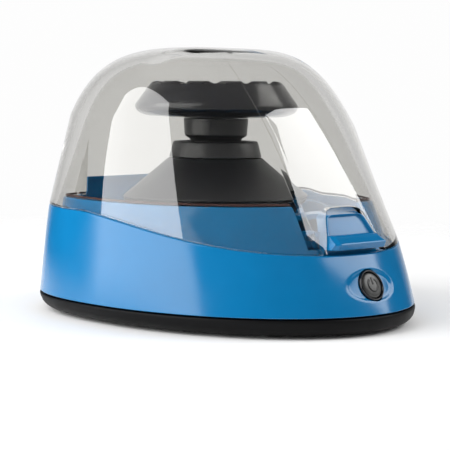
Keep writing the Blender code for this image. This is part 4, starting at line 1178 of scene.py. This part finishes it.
def make_hub():
    make_turned("rotor_hub_turning", "rotor_hub", "aluminium", ([
        (1.8, 40.2), (5.2, 40.2, 0.3), (6.0, 41.0, 0.3), (6.0, 51.6, 0.3), (5.4, 52.1, 0.3), (2.3, 52.1),
        (2.3, 46.6), (1.8, 46.6)], 0.15))
    make_turned("hub_o_ring_band", "hub_o_ring", "rubber",
                ([(6.3, 50.3), (7.9, 50.3), (7.9, 51.5), (6.3, 51.5)], 0.55))
    socket = [(2.2 * math.cos(math.radians(60 * i)), ROTOR.y + 2.2 * math.sin(math.radians(60 * i)))
              for i in range(6)]
    make_turned("rotor_screw_turning", "rotor_screw", "steel", ([
        (0, 84.6), (5.4, 84.6, 0.6), (5.4, 82.0, 0.2), (1.9, 82.0, 0.2), (1.9, 48.4, 0.3), (1.5, 48.0),
        (0, 48.0)], 0.2, None, 72), (add_prism, socket, 83.0, 90.0, "Z"))
    make_turned("motor_shaft_rod", "motor_shaft", "steel",
                ([(0, 6.5), (1.5, 6.5, 0.2), (1.5, 46.0, 0.4), (0, 46.0)], 0.2, None, 40))


def make_motor():
    make_turned("motor_can_drawing", "motor_can", "shell", ([
        (1.8, 6.2), (13.2, 6.2, 0.5), (14.0, 7.0, 0.6), (14.0, 33.2, 1.0), (13.2, 34.0, 0.6),
        (3.6, 34.0, 0.3), (3.6, 35.6, 0.3), (1.8, 35.6, 0.2)], 0.3),
        *uprights(MOTOR_SCREWS, 29.0, 36.0, PILOT_RADIUS))
    make_turned("motor_end_cap_moulding", "motor_end_cap", "dark_grey", ([
        (0, 4.1), (12.4, 4.1, 0.5), (13.0, 4.6, 0.4), (13.0, 5.9, 0.1), (0, 5.9)], 0.3))


def make_jack():
    """The low-voltage inlet: a black block with a ring, a socket and a centre pin."""
    low, high = node_box("dc_jack")
    x, z = JACK.x, INLET_Z
    jack = build("dc_jack_moulding", (add_block, (low.x, low.y, low.z), (high.x, 69.4, high.z), 0.4))
    join(jack, (add_rod, (x, 68.0, z), (x, high.y, z), 4.2, 64, 0.35))
    cut(jack, (add_rod, (x, 62.0, z), (x, 80.0, z), 2.9, 64))
    join(jack, (add_rod, (x, 61.0, z), (x, 73.0, z), 0.9, 32, 0.4))
    stand_for(jack, LOOKS["ink"], "dc_jack")


CAD_LOOKS = {
    "motor_damper": "rubber", "button_switch": "dark_grey", "switch_board": "board",
    "switch_board_screw_1": "steel", "switch_board_screw_2": "steel", "control_board": "board",
    "control_board_screw_1": "steel", "control_board_screw_2": "steel", "capacitor": "dark_grey",
    "driver_chip": "ink", "lead_connector": "grey", "motor_lead_red": "red_wire",
    "motor_lead_black": "ink", "lid_switch": "dark_grey", "lid_switch_plunger": "rubber",
}


def dress_cad_nodes():
    """Give the inner CAD nodes that stay their materials."""
    for node, look in CAD_LOOKS.items():
        piece = frame["nodes"][node]
        piece.data.materials.clear()
        piece.data.materials.append(LOOKS[look])


# --- stage

CAMERA_PLACE = Vector((-0.4184, -0.4300, 0.0880))
CAMERA_AIM = Vector((-0.0029, 0.0028, 0.0344))
CAMERA_LENS = 122.2
CAMERA_ROLL = math.radians(0.75)
LAMP_RADIANCE = 4.0
ROOM_FILL = 0.78
ROOM_GLOSS = 0.05
BACKDROP = (0.70, 0.71, 0.0)


def make_camera():
    lens = bpy.data.cameras.new("camera")
    lens.lens = CAMERA_LENS
    lens.sensor_width = 36.0
    lens.clip_start = 0.01
    camera = bpy.data.objects.new("camera", lens)
    bpy.context.scene.collection.objects.link(camera)
    turn = (CAMERA_AIM - CAMERA_PLACE).to_track_quat("-Z", "Y").to_matrix().to_4x4()
    camera.matrix_world = Matrix.Translation(CAMERA_PLACE) @ turn @ Matrix.Rotation(CAMERA_ROLL, 4, "Z")
    bpy.context.scene.camera = camera


def add_softbox(name, centre, across, upright):
    """A rectangular lamp spanned by two vectors, which shines on the side of the object."""
    centre, across, upright = Vector(centre), Vector(across), Vector(upright)
    lamp = bpy.data.lights.new(name, "AREA")
    lamp.shape = "RECTANGLE"
    lamp.size, lamp.size_y = across.length, upright.length
    lamp.energy = LAMP_RADIANCE * math.pi * lamp.size * lamp.size_y
    facing = across.cross(upright).normalized()
    if facing.dot(centre) < 0:
        across, facing = -across, -facing
    axes = Matrix((across.normalized(), facing.cross(across).normalized(), facing)).transposed()
    holder = bpy.data.objects.new(name, lamp)
    holder.matrix_world = Matrix.Translation(centre) @ axes.to_4x4()
    bpy.context.scene.collection.objects.link(holder)


def make_world():
    """Pale room: white where it is seen directly, and dim in reflections but for the backdrop."""
    world = bpy.data.worlds.new("studio")
    world.use_nodes = True
    bpy.context.scene.world = world
    world.node_tree.nodes.clear()
    room = Nodes(world.node_tree)
    path = room.node("ShaderNodeLightPath")
    toward = room.node("ShaderNodeVectorMath", operation="DOT_PRODUCT")
    toward.inputs[1].default_value = BACKDROP
    glossy = room.ranged(toward.outputs["Value"], ROOM_GLOSS, 0.95, 0.80, 0.95)
    strength = room.node("ShaderNodeMix", A=ROOM_FILL)
    lit = room.node("ShaderNodeBackground")
    seen = room.node("ShaderNodeBackground", Color=(0.985, 0.985, 0.985, 1.0))
    either = room.node("ShaderNodeMath", operation="MAXIMUM")
    mix = room.node("ShaderNodeMixShader")
    for start, end in (
            (room.node("ShaderNodeTexCoord").outputs["Generated"], toward.inputs[0]),
            (path.outputs["Is Glossy Ray"], strength.inputs["Factor"]),
            (glossy, strength.inputs["B"]),
            (strength.outputs["Result"], lit.inputs["Strength"]),
            (path.outputs["Is Camera Ray"], either.inputs[0]),
            (path.outputs["Is Transmission Ray"], either.inputs[1]),
            (either.outputs["Value"], mix.inputs[0]),
            (lit.outputs["Background"], mix.inputs[1]),
            (seen.outputs["Background"], mix.inputs[2]),
            (mix.outputs["Shader"], room.node("ShaderNodeOutputWorld").inputs["Surface"])):
        room.link(start, end)


def make_floor():
    """A pale round floor whose edge fades into the pale room."""
    look = Look("floor_paper")
    radius = 0.9
    length = look.node("ShaderNodeVectorMath", operation="LENGTH")
    look.link(look.place, length.inputs[0])
    fade = look.ranged(length.outputs["Value"], 0.0, 1.0, radius * 0.2, radius * 0.5)
    paper = look.mixed(look.ranged(look.noise(14, 3), 0, 1), (0.90, 0.90, 0.90), (0.92, 0.92, 0.92))
    look.set(Base_Color=paper, Roughness=0.6)
    look.bump((look.noise(600, 3), 0.00004))
    look.let_through(fade)
    bm = bmesh.new()
    bmesh.ops.create_circle(bm, cap_ends=True, segments=96, radius=radius)
    mesh = bpy.data.meshes.new("floor")
    bm.to_mesh(mesh)
    bm.free()
    mesh.materials.append(look.material)
    floor = bpy.data.objects.new("floor", mesh)
    bpy.context.scene.collection.objects.link(floor)


def make_stage():
    make_camera()
    make_world()
    make_floor()
    add_softbox("left_softbox", (-0.752, 0.552, 0.310), (-0.426, 1.342, 0.307), (0.368, -0.132, 1.086))
    add_softbox("right_softbox", (0.688, -0.396, 0.761), (0.317, 0.373, -0.388), (0.702, 0.271, 0.834))
    bpy.context.scene.view_settings.view_transform = "Standard"


# --- main

make_stage()
make_tray()
make_feet()
make_cross_screws()
make_housing()
make_bowl()
make_seals()
make_lid()
make_latch()
make_latch_spring()
make_pins()
make_button()
make_rotor()
make_hub()
make_motor()
make_jack()
dress_cad_nodes()
